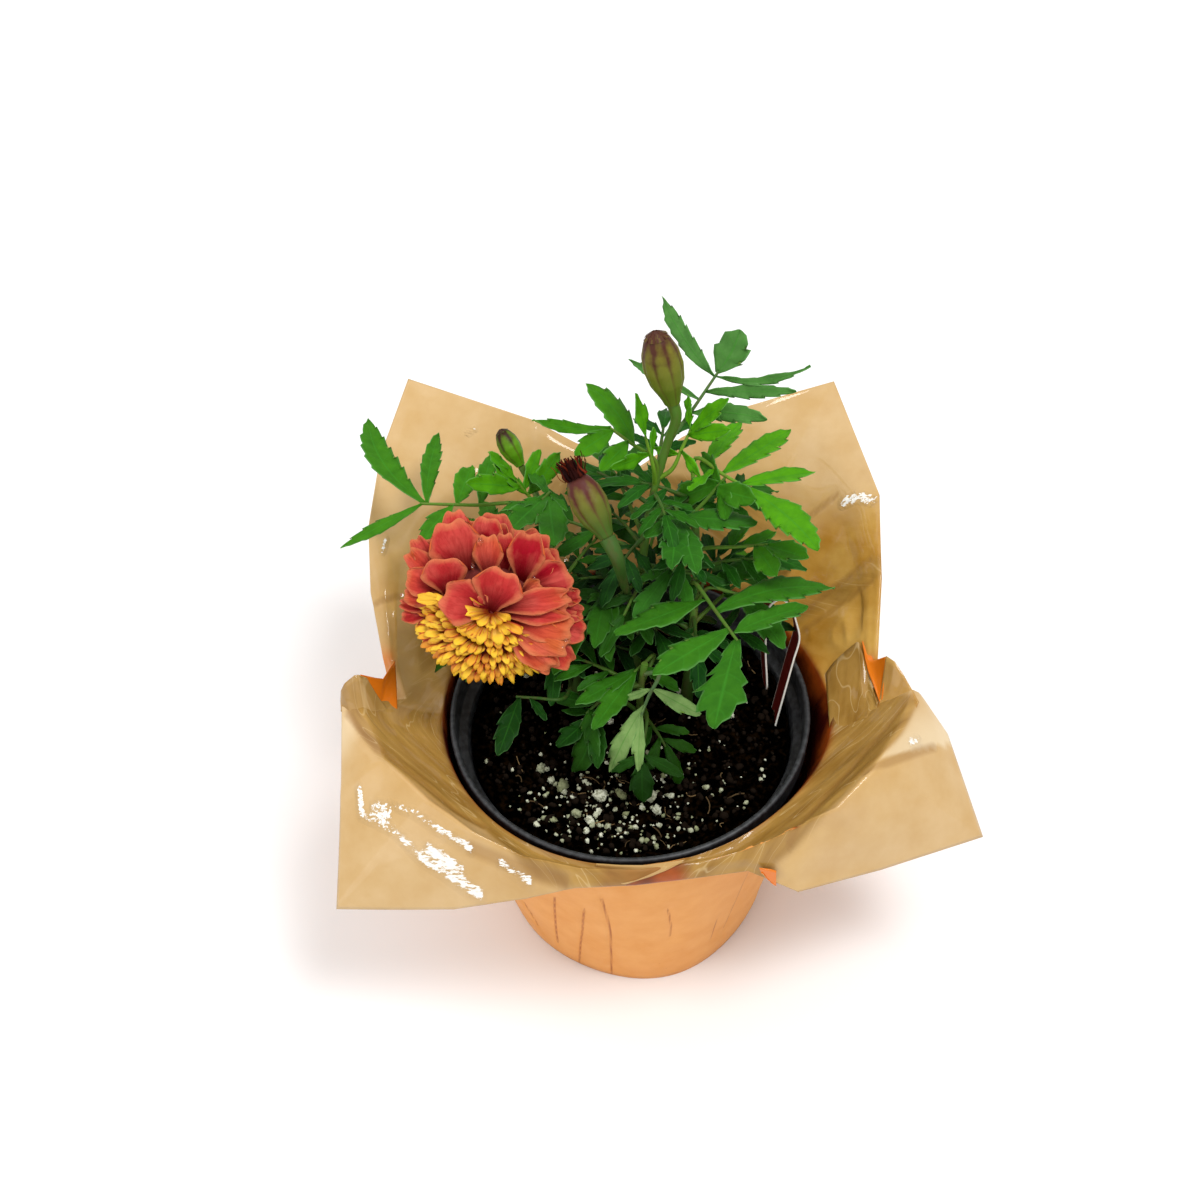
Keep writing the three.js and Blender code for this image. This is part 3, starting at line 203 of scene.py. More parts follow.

# Leaves. A leaf comes off its stem at a height and starts at base, and its rib runs along azimuth
# and rise, bending down by curl degrees. Leaflets are distance along the rib, angle from it,
# length and, where it matters, width and sideways bow; lobed is the number of a leaflet with
# deep lobes. Tint goes from old dark green to new bright green, and grey is the share of a
# pale grey green; shade is the least painted shade on its leaflets. A paired leaf starts at a
# petiole's length from its stem and has two pairs of leaflets of a size.
LEAF = ("height", "base", "azimuth", "rise", "length", "curl", "tint", "grey", "leaflets",
        "lobed", "shade")
PAIRED = ("height", "azimuth", "rise", "petiole", "length", "curl", "size")
STEMS = [
    {
        "name": "leafy_stem_left", "hole": (-16, 8), "tip_radius": 1.1, "bud": SMALL_BUD, "inner": 4,
        "path": [(-17, 12, 92), (-19, 22, 106), (-22, 36, 119), (-25, 49, 125)],
        "leaves": [
            (120, (-27, 45.4, 129.4), -170, 15, 34, 0, 0.5, 0.15,
             [(33.8, -73, 41, 10, 4.5), (32.9, -104, 34.1, 6.1, 1.1), (23.7, -111, 19.2, 7.3),
              (16.6, -106, 25.5, 6.1), (34, 36, 31.5, 4.6), (24.9, 52, 19.5, 6.3)]),
            (124, (-21.4, 44.3, 136.3), -120, 15, 13, 0, 0.36, 0.2,
             [(1.7, 1, 23.8, 9), (1.7, 36, 26, 10), (0.5, 61, 10), (1.1, -127, 14.3),
              (4.3, -28, 14.5)]),
            (120, (-27, 47, 130), 155, 53, 10, 0, 0.75, 0,
             [(2.6, 8, 15), (6, 44, 21), (4.7, -78, 16), (2.8, -96, 22), (7.9, 2, 13)]),
            # This leaf lies under the bloom; its shade of 0.5 is painted shade.
            (90, (-20, -12, 107), 177, 5, 12, 0, 0.05, 0.1,
             [(12, 78, 21), (9, 125, 9)], None, 0.5),
        ],
        "paired": [
            (116, 150, 20, 6, 20, 25, 20),
            (104, 190, 14, 6, 20, 30, 19),
            (92, 145, 22, 5, 15, 25, 14),
            (112, 50, 25, 5, 14, 20, 14),
        ],
        "blooms": [{"from": 96, "bend": (-33, 22, 106)}],
    },
    {
        "name": "leafy_stem_centre", "hole": (2, 14), "tip_radius": 1.8, "bud": TALL_BUD, "inner": 12,
        "path": [(2.5, 17, 92), (4, 24, 108), (6.5, 33, 124), (9.5, 40, 138), (14, 45.5, 153)],
        "leaves": [
            (141, (14.4, 45.7, 152.7), 35, 45, 25, 0, 0.38, 1.15,
             [(16.1, 98, 30.9, 3.5), (23.9, 76, 34.3, 5.6, 1.2), (25, 11, 13.9, 13, -1.3),
              (24.2, -53, 30.5, 2.7, -2.9), (18.6, -57, 29.9, 4.4), (11.5, -61, 25.6, 5.8, 0.8)]),
            (138, (10.6, 42.8, 148.9), 164, 38, 18, 0, 0.55, 0.05,
             [(16.8, 34, 27, 4.4, 1.5), (8, -25, 22.8, 12, -2.5), (16, 65, 18.6, 6.9),
              (10.2, 73, 16.7, 6.4)]),
            (140, (10, 40, 148), 140, 76, 14, 0, 0.8, 0,
             [(11, -3, 15), (6, 72, 16), (4, -26, 9)]),
            (142, (15, 42, 146), 30, 62, 14, 0, 0.9, 0,
             [(14, 45, 10), (13, -24, 18), (12, -49, 17), (7, -98, 11), (5.5, 118, 11)]),
            (112, (5, 26, 118), -145, 9, 13, 0, 0.4, 0.25,
             [(13, 10, 8), (13, 45, 24), (13, 63, 15), (10, -101, 10)]),
            (117, (7, 24, 121), -114, 12, 18, 20, 0.36, 0.3,
             [(18, -7, 15), (11, -48, 12), (13, 44, 16)]),
        ],
        "paired": [
            (124, 110, 25, 6, 22, 25, 22),
            (110, 75, 20, 6, 20, 25, 20),
            (100, 125, 15, 6, 18, 30, 17),
            (113, 232, 22, 6, 18, 20, 18),
            (120, 165, 30, 8, 20, 20, 18),
        ],
        "peduncles": [{"from": 104, "bend": (0, 15, 125), "bud": FADED_BUD}],
    },
    {
        "name": "leafy_stem_right", "hole": (18, 8), "tip_radius": 1, "inner": 10,
        "path": [(19, 11, 92), (20.5, 18, 106), (22, 30, 122), (22, 42, 136)],
        "leaves": [
            (134, (22.4, 48.3, 144.3), -51, 10, 28, 0, 0.85, 0,
             [(4.9, 111, 24.2, 7), (12.1, 92, 29, 8.7, -0.4), (20.2, 58, 21.5, 8.2),
              (22.6, -9, 34.6, 10.7, 1.4), (8.7, -85, 11.2)]),
            (112, (20.3, 14.3, 127.2), -71, 14, 32, 0, 0.34, 0.2,
             [(17.2, 84, 35, 13, 4.5), (29.2, 97, 24.3, 9.5, 0.9), (10.2, -86, 28.8, 11),
              (26.9, -73, 27, 11.5), (32.1, -33, 36.3, 15)], 4),
            (122, (15.9, 34.9, 137.8), -83, 16, 12, 0, 0.26, 0.25,
             [(5.3, -50, 14.5, 7), (5.9, -14, 27.8, 8.5), (7.5, -1, 29.5, 8), (6.2, 69, 22.7, 13),
              (0.5, 156, 17)]),
            (128, (20, 33, 134), 19, 50, 16, 0, 0.42, 0.15,
             [(15, 147, 21, 9), (16, -118, 12, 7), (12.3, -57, 17, 8), (15, 93, 14, 6)]),
            (120, (23, 28, 126), -19, 22, 21, 0, 0.45, 0.1,
             [(13, 29, 11, 6), (21, -24, 16, 8), (18, -53, 16, 8), (10, 84, 12, 7)]),
            (114, (22, 16, 128), 163, 0, 10, 0, 0.42, 0.5,
             [(9.7, 42, 11), (8.3, 73, 21), (6, 115, 15)]),
            (108, (25, 18, 120), -25, 12, 16, 15, 0.36, 0.3,
             [(0, 48, 29.6, 10.8, 1.3), (10.1, -33, 22.2, 9.4)]),
        ],
        "paired": [
            (104, 40, 20, 6, 19, 25, 19),
        ],
    },
    {
        "name": "leafy_stem_front", "hole": (3, -7), "tip_radius": 1,
        "path": [(3, -7.5, 90), (3.5, -6, 102), (5, -4, 112)],
        "leaves": [
            (108, (9, -8, 112), -118, -12, 17, 30, 1.0, 1.7,
             [(9.7, -12, 25, 6), (12.9, 14, 17, 4), (5, 82, 16), (5, -47, 8.2)]),
            (98, (5, -16, 102), -100, -15, 12, 25, 0.25, 0.1,
             [(12.6, 5, 13.2, 7.5), (11.2, -54, 10.1), (11.2, 68, 12.6)]),
            (104, (-5, -9, 106), -150, -18, 12, 20, 0.22, 0.1,
             [(9, 26, 18.6, 11, 4), (6, -55, 16), (8, 55, 16)]),
            (93, (-3, -8, 100), -149, -6, 11, 0, 0.15, 0.05,
             [(11, 12, 12, 6.8), (7, -43, 11), (8, 59, 18), (4, -68, 10)]),
            (104, (8, 2, 109), -134, 0, 8, 0, 0.35, 0.2,
             [(8, -14, 21), (8, 12, 24), (5.4, 90, 14)]),
        ],
        "paired": [
            (94, -60, 5, 4, 10, 30, 12),
            (103, 160, 26, 5, 13, 15, 13),
        ],
    },
]

# Petals of the open bloom, in its own plane and with a height over it: root, tip, width, hue
# from orange at 0 to crimson at 1, and how much the petal waves.
PETALS = [
    ((-0.3, -2.4, 9.5), (4.4, 8.4, 14.5), 13.5, 0.55, 0.5),
    ((-0.6, -2.6, 9.5), (-12.9, 2.7, 13.5), 12.5, 0.55, 0.7),
    ((-1.5, -1.8, 9.5), (-3.4, 1.9, 12), 4, 0.4, 0.6),
    ((-11.8, 2.6, 6), (-12.9, 12.9, 11), 12, 0.6, 0.5),
    ((-0.6, 6.5, 5), (0.6, 18.4, 9.5), 8, 0.35, 0.5),
    ((4.2, 7, 4.5), (5.3, 18.6, 8), 6.5, 0.8, 0.5),
    ((8.6, 4.6, 5.5), (12.4, 18.2, 9.5), 10, 0.85, 0.4),
    ((9.5, 4.5, 5), (17.8, 12.4, 7), 7, 0.5, 0.5),
    ((9.6, 2.6, 5.5), (22.6, 6.4, 8), 10.5, 0.95, 0.4),
    ((8.5, 1.5, 7), (14.2, 4.0, 8.5), 5, 0.05, 0.6),
    ((1.2, -2.2, 8.5), (21.8, 0.2, 9), 7, 0.35, 0.8),
    ((1.6, -3.2, 8), (21.2, -4.4, 8.5), 7, 0.45, 0.9),
    ((3.2, -4.6, 7.4), (22, -9.4, 7.6), 9.5, 0.3, 1.3),
    ((3, -5.4, 7), (20, -15, 7), 10, 0.12, 1.4),
    ((3.4, -6.4, 6), (16, -19.6, 5.4), 9, 0.22, 1.4),
    ((4, -6, 5), (16, -20.4, 4), 9, 0.3, 1.1),
    ((-6.6, 7.4, 4.5), (-10.8, 22.8, 8.5), 14, 0.7, 0.6),
    ((-7.5, 14, 3.5), (-9, 26, 5.5), 8, 0.45, 0.6),
    ((-1, 13, 4), (0.6, 23.6, 7), 8.5, 0.75, 0.7),
    ((1.5, 12, 3.5), (3.6, 21.6, 5.5), 7, 0.8, 0.7),
    ((-14, 4.4, 5), (-23.2, 8.6, 7.5), 8, 0.3, 0.8),
    ((-14, 2.5, 4.5), (-24.6, 3.2, 6), 6, 0.35, 0.9),
    ((-14.5, 7.5, 4.5), (-22.5, 15.4, 6), 6.5, 0.3, 1.0),
    ((-15, 9, 4), (-20.4, 19, 4.5), 6, 0.45, 1.0),
    ((-13, 1.4, 8), (-20.5, 2.4, 9.5), 3.4, -1, 0.3),
    ((-17, -1, 3.5), (-26, 1, 3.5), 4, 0.6, 1.2),
    ((-18, -2.5, 3), (-26, -3, 3), 4, 0.6, 1.2),
    ((17, -1, 3), (25.2, -0.2, 3.5), 5, 0.6, 1.2),
    ((17, -4, 3), (25.6, -5.5, 2.5), 6, 0.9, 1.1),
    ((17, -8, 2.5), (25.6, -11.5, 2), 8, 0.55, 1.0),
    ((14, -13, 2), (21, -20, 1), 8, 0.45, 1.0),
]
SKIRT = {"from": -42, "to": 200, "count": 15, "inner": 11, "outer": 24.5, "width": 10}
# Rows of small florets: root radius and height, tip radius and height, width.
FLORET_ROWS = [
    (1.0, 9.6, 8.5, 11.4, 3.2),
    (3.5, 9.2, 11.6, 10.8, 3.3),
    (6.5, 8.2, 13.6, 9.8, 2.9),
    (9.5, 7.0, 16.2, 8.4, 2.4),
    (12.0, 5.6, 18.8, 6.6, 2.3),
    (14.0, 4.0, 21.2, 4.6, 2.2),
    (15.5, 2.4, 23.2, 2.4, 2.1),
    (16.0, 1.0, 24.4, 0.2, 2.1),
    (15.0, 0.2, 24.0, -2.0, 2.1),
]
FLORET_SECTOR = {"from": 172, "to": 309}
DROPS = [((-1.7, 17.2, 10.2), 1.0), ((-4.4, 10.4, 8.2), 0.65), ((-25.2, 3.4, 6.8), 0.5),
         ((20.6, -12.4, 8.6), 0.5), ((19.4, -14.4, 8.4), 0.4), ((12.6, 6, 9), 0.4)]


def colour(red, green, blue):
    """A colour from 0 to 255, made linear."""
    return tuple((channel / 255) ** 2.2 for channel in (red, green, blue))


def unit(vector):
    vector = np.asarray(vector, float)
    return vector / np.linalg.norm(vector)


def layers(*parts):
    """Numbers and grids side by side along a last axis."""
    return np.stack(np.broadcast_arrays(*parts), axis=-1)


def polar(azimuth, radius, height):
    turn = np.radians(azimuth)
    return layers(radius * np.cos(turn), radius * np.sin(turn), height).astype(float)


def noise(seed, across, along, wrap=64):
    """Smooth noise from -1 to 1 over two coordinates; the first repeats after wrap."""
    lattice = np.random.default_rng(seed).random((wrap, 64)) * 2 - 1
    column, row = np.floor(across).astype(int), np.floor(along).astype(int)
    s, t = across - column, along - row
    s, t = s * s * (3 - 2 * s), t * t * (3 - 2 * t)
    corner = lambda i, j: lattice[(column + i) % wrap, (row + j) % 64]
    low = corner(0, 0) * (1 - s) + corner(1, 0) * s
    high = corner(0, 1) * (1 - s) + corner(1, 1) * s
    return low * (1 - t) + high * t


def bell(value, middle, width):
    """A smooth hump of 1 at the middle, that fades over a width to both sides."""
    return np.exp(-((value - middle) / width) ** 2)


def creased(seed, across, along, wrap=64):
    """Noise with sharp ridges, from 0 to 1, like creases in paper."""
    return 1 - np.abs(noise(seed, across, along, wrap)) ** 0.7


# Meshes

class Skin:
    """Points, faces, values of the points and material numbers of one piece."""

    def __init__(self, *labels):
        self.points = []
        self.faces = []
        self.materials = []
        self.values = {label: [] for label in labels}
        self.total = 0

    def add(self, points, faces, material=0, **values):
        points = np.asarray(points, float).reshape(-1, 3)
        self.points.append(points)
        self.faces += (np.asarray(faces) + self.total).tolist()
        self.materials += [material] * len(faces)
        for label, parts in self.values.items():
            value = np.asarray(values.get(label, (0, 0, 0)), float)
            parts.append(np.broadcast_to(value.reshape(-1, 3), points.shape))
        self.total += len(points)

    def grid(self, points, closed=False, material=0, **values):
        """A sheet over rows of points, whose columns may close into rings."""
        rows, columns = points.shape[:2]
        i = np.arange(rows - 1)[:, None]
        j = np.arange(columns if closed else columns - 1)[None, :]
        k = (j + 1) % columns
        corners = (i * columns + j, (i + 1) * columns + j, (i + 1) * columns + k, i * columns + k)
        faces = layers(*corners).reshape(-1, 4)
        self.add(points, faces, material, **values)

    def fan(self, middle, ring, material=0, **values):
        """A cap from a middle point to a ring."""
        count = len(ring)
        faces = [(0, 1 + (j + 1) % count, 1 + j) for j in range(count)]
        self.add(np.vstack([[middle], ring]), faces, material, **values)


def new_object(name, data):
    made = bpy.data.objects.new(name, data)
    bpy.context.scene.collection.objects.link(made)
    return made


def make_piece(name, skin, materials, nodes=(), thickness=0.0):
    mesh = bpy.data.meshes.new(name)
    mesh.from_pydata((np.vstack(skin.points) * MM).tolist(), [], skin.faces)
    for label, parts in skin.values.items():
        attribute = mesh.attributes.new(label, "FLOAT_VECTOR", "POINT")
        attribute.data.foreach_set("vector", np.vstack(parts).astype(np.float32).ravel())
    for material in materials:
        mesh.materials.append(material)
    mesh.polygons.foreach_set("material_index", skin.materials)
    mesh.polygons.foreach_set("use_smooth", [True] * len(skin.faces))
    mesh.update()
    piece = new_object(name, mesh)
    if thickness:
        shell = piece.modifiers.new("shell", "SOLIDIFY")
        shell.thickness = thickness * MM
        shell.offset = -1
        shell.material_offset = len(materials) - 1
    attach(piece, "root")
    if nodes:
        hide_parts(*nodes)


def even_line(points, count):
    """Evenly spaced points along straight lines from point to point."""
    points = np.asarray(points, float)
    travelled = np.concatenate([[0], np.cumsum(np.linalg.norm(np.diff(points, axis=0), axis=1))])
    even = np.linspace(0, travelled[-1], count)
    return np.stack([np.interp(even, travelled, points[:, axis]) for axis in range(3)], axis=1)


def smooth_line(points, count):
    """Evenly spaced points along a centripetal Catmull-Rom curve."""
    points = np.asarray(points, float)
    line = np.vstack([2 * points[0] - points[1], points, 2 * points[-1] - points[-2]])
    share = np.linspace(0, 1, 40, endpoint=False)[:, None]
    dense = []
    for p0, p1, p2, p3 in zip(line, line[1:], line[2:], line[3:]):
        d0, d1, d2 = (math.sqrt(np.linalg.norm(b - a)) for a, b in ((p0, p1), (p1, p2), (p2, p3)))
        start = ((p1 - p0) / d0 - (p2 - p0) / (d0 + d1) + (p2 - p1) / d1) * d1
        end = ((p2 - p1) / d1 - (p3 - p1) / (d1 + d2) + (p3 - p2) / d2) * d1
        cube = 2 * p1 - 2 * p2 + start + end
        square = -3 * p1 + 3 * p2 - 2 * start - end
        dense.append(((cube * share + square) * share + start) * share + p1)
    return even_line(np.vstack(dense + [points[-1:]]), count)


def tube_grid(line, radii, sides):
    """Rings of points round a line, turned as little as possible from one to the next."""
    tangents = np.gradient(line, axis=0)
    tangents /= np.linalg.norm(tangents, axis=1)[:, None]
    right = np.cross(tangents[0], UP if abs(tangents[0][2]) < 0.9 else [1.0, 0, 0])
    turns = np.linspace(0, 2 * np.pi, sides, endpoint=False)[:, None]
    rings = []
    for point, tangent, radius in zip(line, tangents, np.broadcast_to(radii, len(line))):
        right = unit(right - tangent * right.dot(tangent))
        aside = np.cross(tangent, right)
        rings.append(point + radius * (np.cos(turns) * right + np.sin(turns) * aside))
    return np.array(rings)


def add_tube(skin, line, radii, sides=8, material=0, **values):
    grid = tube_grid(line, radii, sides)
    skin.grid(grid[:, ::-1], closed=True, material=material, **values)
    value = {label: np.asarray(value, float).reshape(-1, 3)[-1] for label, value in values.items()}
    skin.fan(line[-1], grid[-1][::-1], material=material, **value)
    skin.fan(line[0], grid[0], material=material, **value)


def blade_shares(rows, columns):
    """Shares of a blade's length, from 0 to 1, and of its half width, from -1 to 1."""
    return np.meshgrid(np.linspace(0, 1, rows), np.linspace(-1, 1, columns), indexing="ij")


# Materials

class Paint:
    """A material and its nodes, built up from its principled shader."""

    def __init__(self, name, settings):
        self.material = bpy.data.materials.new(name)
        self.material.use_nodes = True
        self.tree = self.material.node_tree
        self.shader = self.tree.nodes["Principled BSDF"]
        for socket, value in settings.items():
            self.put(self.shader.inputs[socket], value)

    def put(self, socket, value):
        if isinstance(value, bpy.types.NodeSocket):
            self.tree.links.new(value, socket)
        elif isinstance(value, tuple):
            socket.default_value = (*value, 1) if len(socket.default_value) == 4 else value
        else:
            socket.default_value = value

    def node(self, kind, inputs=(), **settings):
        made = self.tree.nodes.new(kind)
        for setting, value in settings.items():
            setattr(made, setting, value)
        for socket, value in dict(inputs).items():
            self.put(made.inputs[socket], value)
        return made

    def place(self):
        return self.node("ShaderNodeTexCoord").outputs["Object"]

    def vector(self, label):
        return self.node("ShaderNodeAttribute", attribute_name=label).outputs["Vector"]

    def value(self, label, part):
        return self.node("ShaderNodeSeparateXYZ", {0: self.vector(label)}).outputs[part]

    def maths(self, operation, first, second=0.0):
        return self.node("ShaderNodeMath", {0: first, 1: second}, operation=operation).outputs[0]

    def mix(self, factor, first, second):
        """A mix of two colours, each a socket or red, green and blue from 0 to 255."""
        first, second = (colour(*shade) if isinstance(shade, tuple) else shade
                         for shade in (first, second))
        made = self.node("ShaderNodeMix", {0: factor, 6: first, 7: second}, data_type="RGBA")
        return made.outputs[2]

    def grain(self, scale, detail=3.0, rough=0.55, place=None):
        inputs = {"Scale": scale, "Detail": detail, "Roughness": rough,
                  "Vector": place or self.place()}
        return self.node("ShaderNodeTexNoise", inputs).outputs["Fac"]

    def spread(self, value, low, high, to_low=0.0, to_high=1.0):
        inputs = {"Value": value, "From Min": low, "From Max": high, "To Min": to_low,
                  "To Max": to_high}
        return self.node("ShaderNodeMapRange", inputs).outputs[0]

    def mapped(self, vector, scale, rotation=(0, 0, 0)):
        inputs = {"Vector": vector, "Scale": scale, "Rotation": rotation}
        return self.node("ShaderNodeMapping", inputs).outputs[0]

    def bump(self, height, depth, under=None):
        inputs = {"Height": height, "Strength": 1.0, "Distance": depth * MM}
        if under:
            inputs["Normal"] = under
        return self.node("ShaderNodeBump", inputs).outputs["Normal"]

    def finish(self, base, normal=None):
        self.put(self.shader.inputs["Base Color"], base)
        if normal:
            self.put(self.shader.inputs["Normal"], normal)
        return self.material


def khaki_paper(paint, flow):
    """Painted shade: colour of the inner paper where it lies in shade, with streaks and thin pale
    lines along its wrinkles.
    """
    streaks = paint.grain(0.6, 3, 0.5, flow)
    base = paint.mix(paint.spread(streaks, 0.3, 0.7), (136, 98, 40), (176, 136, 70))
    line = paint.maths("ABSOLUTE", paint.maths("SUBTRACT", paint.grain(0.5, 1, 0.5, flow), 0.5))
    return paint.mix(paint.spread(line, 0.0, 0.01, 0.35, 0.0), base, (228, 200, 146))


def painted_glint_share(paint, glint):
    """Where the paper gets painted highlight: short slanted specks and patches beside the glinting
    creases.
    """
    slanted = paint.mapped(paint.place(), (0.3, 1, 1), (0, 0, 0.55))
    specks = paint.maths("MULTIPLY", paint.grain(1300, 3, 0.7, slanted), 1.5)
    patches = paint.maths("MULTIPLY", paint.grain(260, 2), 0.7)
    glint_level = paint.maths("ADD", glint, paint.maths("ADD", specks, patches))
    return paint.spread(glint_level, 1.98, 2.1)


def paper_inside():
    paint = Paint("glossy_paper_inside", {"Roughness": 0.45, "Coat Weight": 0.6,
                                          "Coat Roughness": 0.05, "Specular IOR Level": 0.15})
    shaded, golden, turned = (paint.value("sheet", part) for part in range(3))
    folded, glinting, outside = (paint.value("fold", part) for part in range(3))
    flow = paint.vector("flow")
    base = paint.mix(paint.spread(paint.grain(90, 4), 0.3, 0.7), (206, 172, 122), (196, 158, 102))
    blotches = paint.spread(paint.grain(48, 4, 0.6), 0.34, 0.66)
    brown = paint.mix(blotches, (172, 120, 40), (206, 162, 82))
    base = paint.mix(golden, base, brown)
    # Painted sheen: where golden is below zero the paper turns pale.
    base = paint.mix(paint.spread(golden, 0.0, -1.0, 0.0, 0.8), base, (226, 204, 166))
    # Painted shade: khaki where the inner paper lies in shade.
    base = paint.mix(shaded, base, khaki_paper(paint, flow))
    # Painted shade: dark red of the paper in the shaded gap under the lip and under the front layer.
    gap_shade = paint.mix(paint.spread(paint.grain(60, 3), 0.4, 0.65), (70, 20, 8), (166, 76, 22))
    base = paint.mix(turned, base, gap_shade)
    base = paint.mix(outside, base, (224, 118, 26))
    # Painted shade: a dark line along each fold in the flaps.
    base = paint.mix(paint.spread(folded, 0.2, 1.1, 0.42, 0.0), base, (142, 100, 48))
    # Painted highlight: near-white specks along the glint lines.
    glint = paint.spread(glinting, 0.0, 1.2, 1.0, 0.0)
    base = paint.mix(painted_glint_share(paint, glint), base, (255, 252, 244))
    crumple = paint.maths("MULTIPLY", shaded, paint.grain(0.9, 3, 0.5, flow))
    ragged = paint.maths("MULTIPLY", glint, paint.grain(900, 4, 0.7))
    fine = paint.bump(paint.grain(420, 3), 0.03)
    soft = paint.bump(paint.grain(70, 2), 0.3, fine)
    ridge = paint.bump(ragged, 0.7, soft)
    return paint.finish(base, paint.bump(crumple, 0.3, ridge))


def paper_outside():
    paint = Paint("glossy_paper_outside", {"Roughness": 0.5, "Specular IOR Level": 0.2})
    base = paint.mix(paint.spread(paint.grain(110, 4), 0.3, 0.7), (226, 158, 88), (218, 146, 72))
    outside, pleat = paint.value("fold", 2), paint.value("fold", 0)
    # Painted shade: darker orange along the cup's pleat lines.
    base = paint.mix(paint.spread(pleat, 0.1, 0.55, 0.75, 0.0), base, (150, 66, 14))
    base = paint.mix(outside, base, (200, 160, 104))
    return paint.finish(base, paint.bump(paint.grain(300, 3), 0.08))


def pot_plastic():
    paint = Paint("pot_plastic", {"Roughness": 0.48})
    base = paint.mix(paint.spread(paint.grain(500, 4), 0.4, 0.7), (34, 35, 37), (62, 64, 66))
    return paint.finish(base, paint.bump(paint.grain(1600, 2), 0.03))


def soil_mix():
    paint = Paint("soil_mix", {"Roughness": 1.0, "Specular IOR Level": 0.0})
    base = paint.mix(paint.spread(paint.grain(500, 5), 0.5, 0.78), (5, 5, 4), (34, 24, 14))
    return paint.finish(base, paint.bump(paint.grain(900, 5), 0.5))


def soil_fibre():
    paint = Paint("soil_fibre", {"Roughness": 0.9, "Specular IOR Level": 0.1})
    base = paint.mix(paint.value("tone", 0), (30, 22, 15), (150, 122, 84))
    return paint.finish(base)


def perlite():
    paint = Paint("perlite", {"Roughness": 0.85})
    fresh = paint.mix(paint.value("tone", 0), (138, 144, 100), (228, 230, 206))
    base = paint.mix(paint.spread(paint.grain(900, 3), 0.5, 0.72), fresh, (104, 104, 70))
    return paint.finish(base, paint.bump(paint.grain(1800, 3), 0.2))


def label_face():
    paint = Paint("label_face", {"Roughness": 0.3, "Specular IOR Level": 0.5})
    base = paint.mix(paint.value("tone", 0), (98, 30, 26), (240, 236, 226))
    return paint.finish(base)


def leaf_top():
    paint = Paint("leaf_top", {"Roughness": 0.55, "Specular IOR Level": 0.1})
    across, vein = paint.value("blade", 0), paint.value("blade", 2)
    tint, grey, dark = (paint.value("tone", part) for part in range(3))
    base = paint.mix(tint, (2, 58, 8), (86, 160, 14))
    base = paint.mix(paint.maths("MULTIPLY", grey, 0.5), base, (56, 122, 58))
    base = paint.mix(paint.spread(grey, 1.0, 2.0), base, (146, 172, 104))
    mottle = paint.spread(paint.grain(260, 4), 0.35, 0.7)
    base = paint.mix(paint.maths("MULTIPLY", mottle, 0.35), base, (16, 68, 12))
    aside = paint.maths("ABSOLUTE", across)
    rib = paint.spread(aside, 0.0, 0.09, 0.5, 0.0)
    side = paint.maths("PINGPONG", vein, 0.5)
    lateral = paint.spread(side, 0.0, 0.09, 0.2, 0.0)
    veins = paint.maths("MAXIMUM", rib, lateral)
    base = paint.mix(veins, base, (60, 132, 38))
    base = paint.mix(paint.spread(aside, 0.86, 1.0, 0.0, 0.35), base, (116, 172, 100))
    # Painted shade, mixed in towards near-black green.
    base = paint.mix(dark, base, (3, 14, 3))
    ridges = paint.bump(veins, 0.12)
    return paint.finish(base, paint.bump(paint.grain(700, 3), 0.08, ridges))


def leaf_under():
    paint = Paint("leaf_under", {"Roughness": 0.6, "Specular IOR Level": 0.1})
    across = paint.value("blade", 0)
    tint, dark = paint.value("tone", 0), paint.value("tone", 2)
    base = paint.mix(tint, (52, 90, 42), (134, 180, 66))
    rib = paint.spread(paint.maths("ABSOLUTE", across), 0.0, 0.1, 0.7, 0.0)
    base = paint.mix(rib, base, (160, 194, 118))
    # Painted shade, mixed in towards near-black green.
    base = paint.mix(dark, base, (6, 18, 5))
    return paint.finish(base, paint.bump(rib, -0.15))


def stem_skin():
    paint = Paint("stem_skin", {"Roughness": 0.5, "Specular IOR Level": 0.2})
    tint, grey, dark = (paint.value("tone", part) for part in range(3))
    lengthwise = paint.mapped(paint.place(), (6, 6, 1))
    streak = paint.spread(paint.grain(90, 3, place=lengthwise), 0.45, 0.7)
    base = paint.mix(tint, (40, 76, 22), (116, 162, 46))
    base = paint.mix(paint.maths("MULTIPLY", grey, 0.6), base, (84, 116, 70))
    base = paint.mix(paint.maths("MULTIPLY", streak, 0.4), base, (104, 78, 52))
    # Painted shade, mixed in towards near-black green.
    base = paint.mix(dark, base, (14, 26, 10))
    return paint.finish(base)


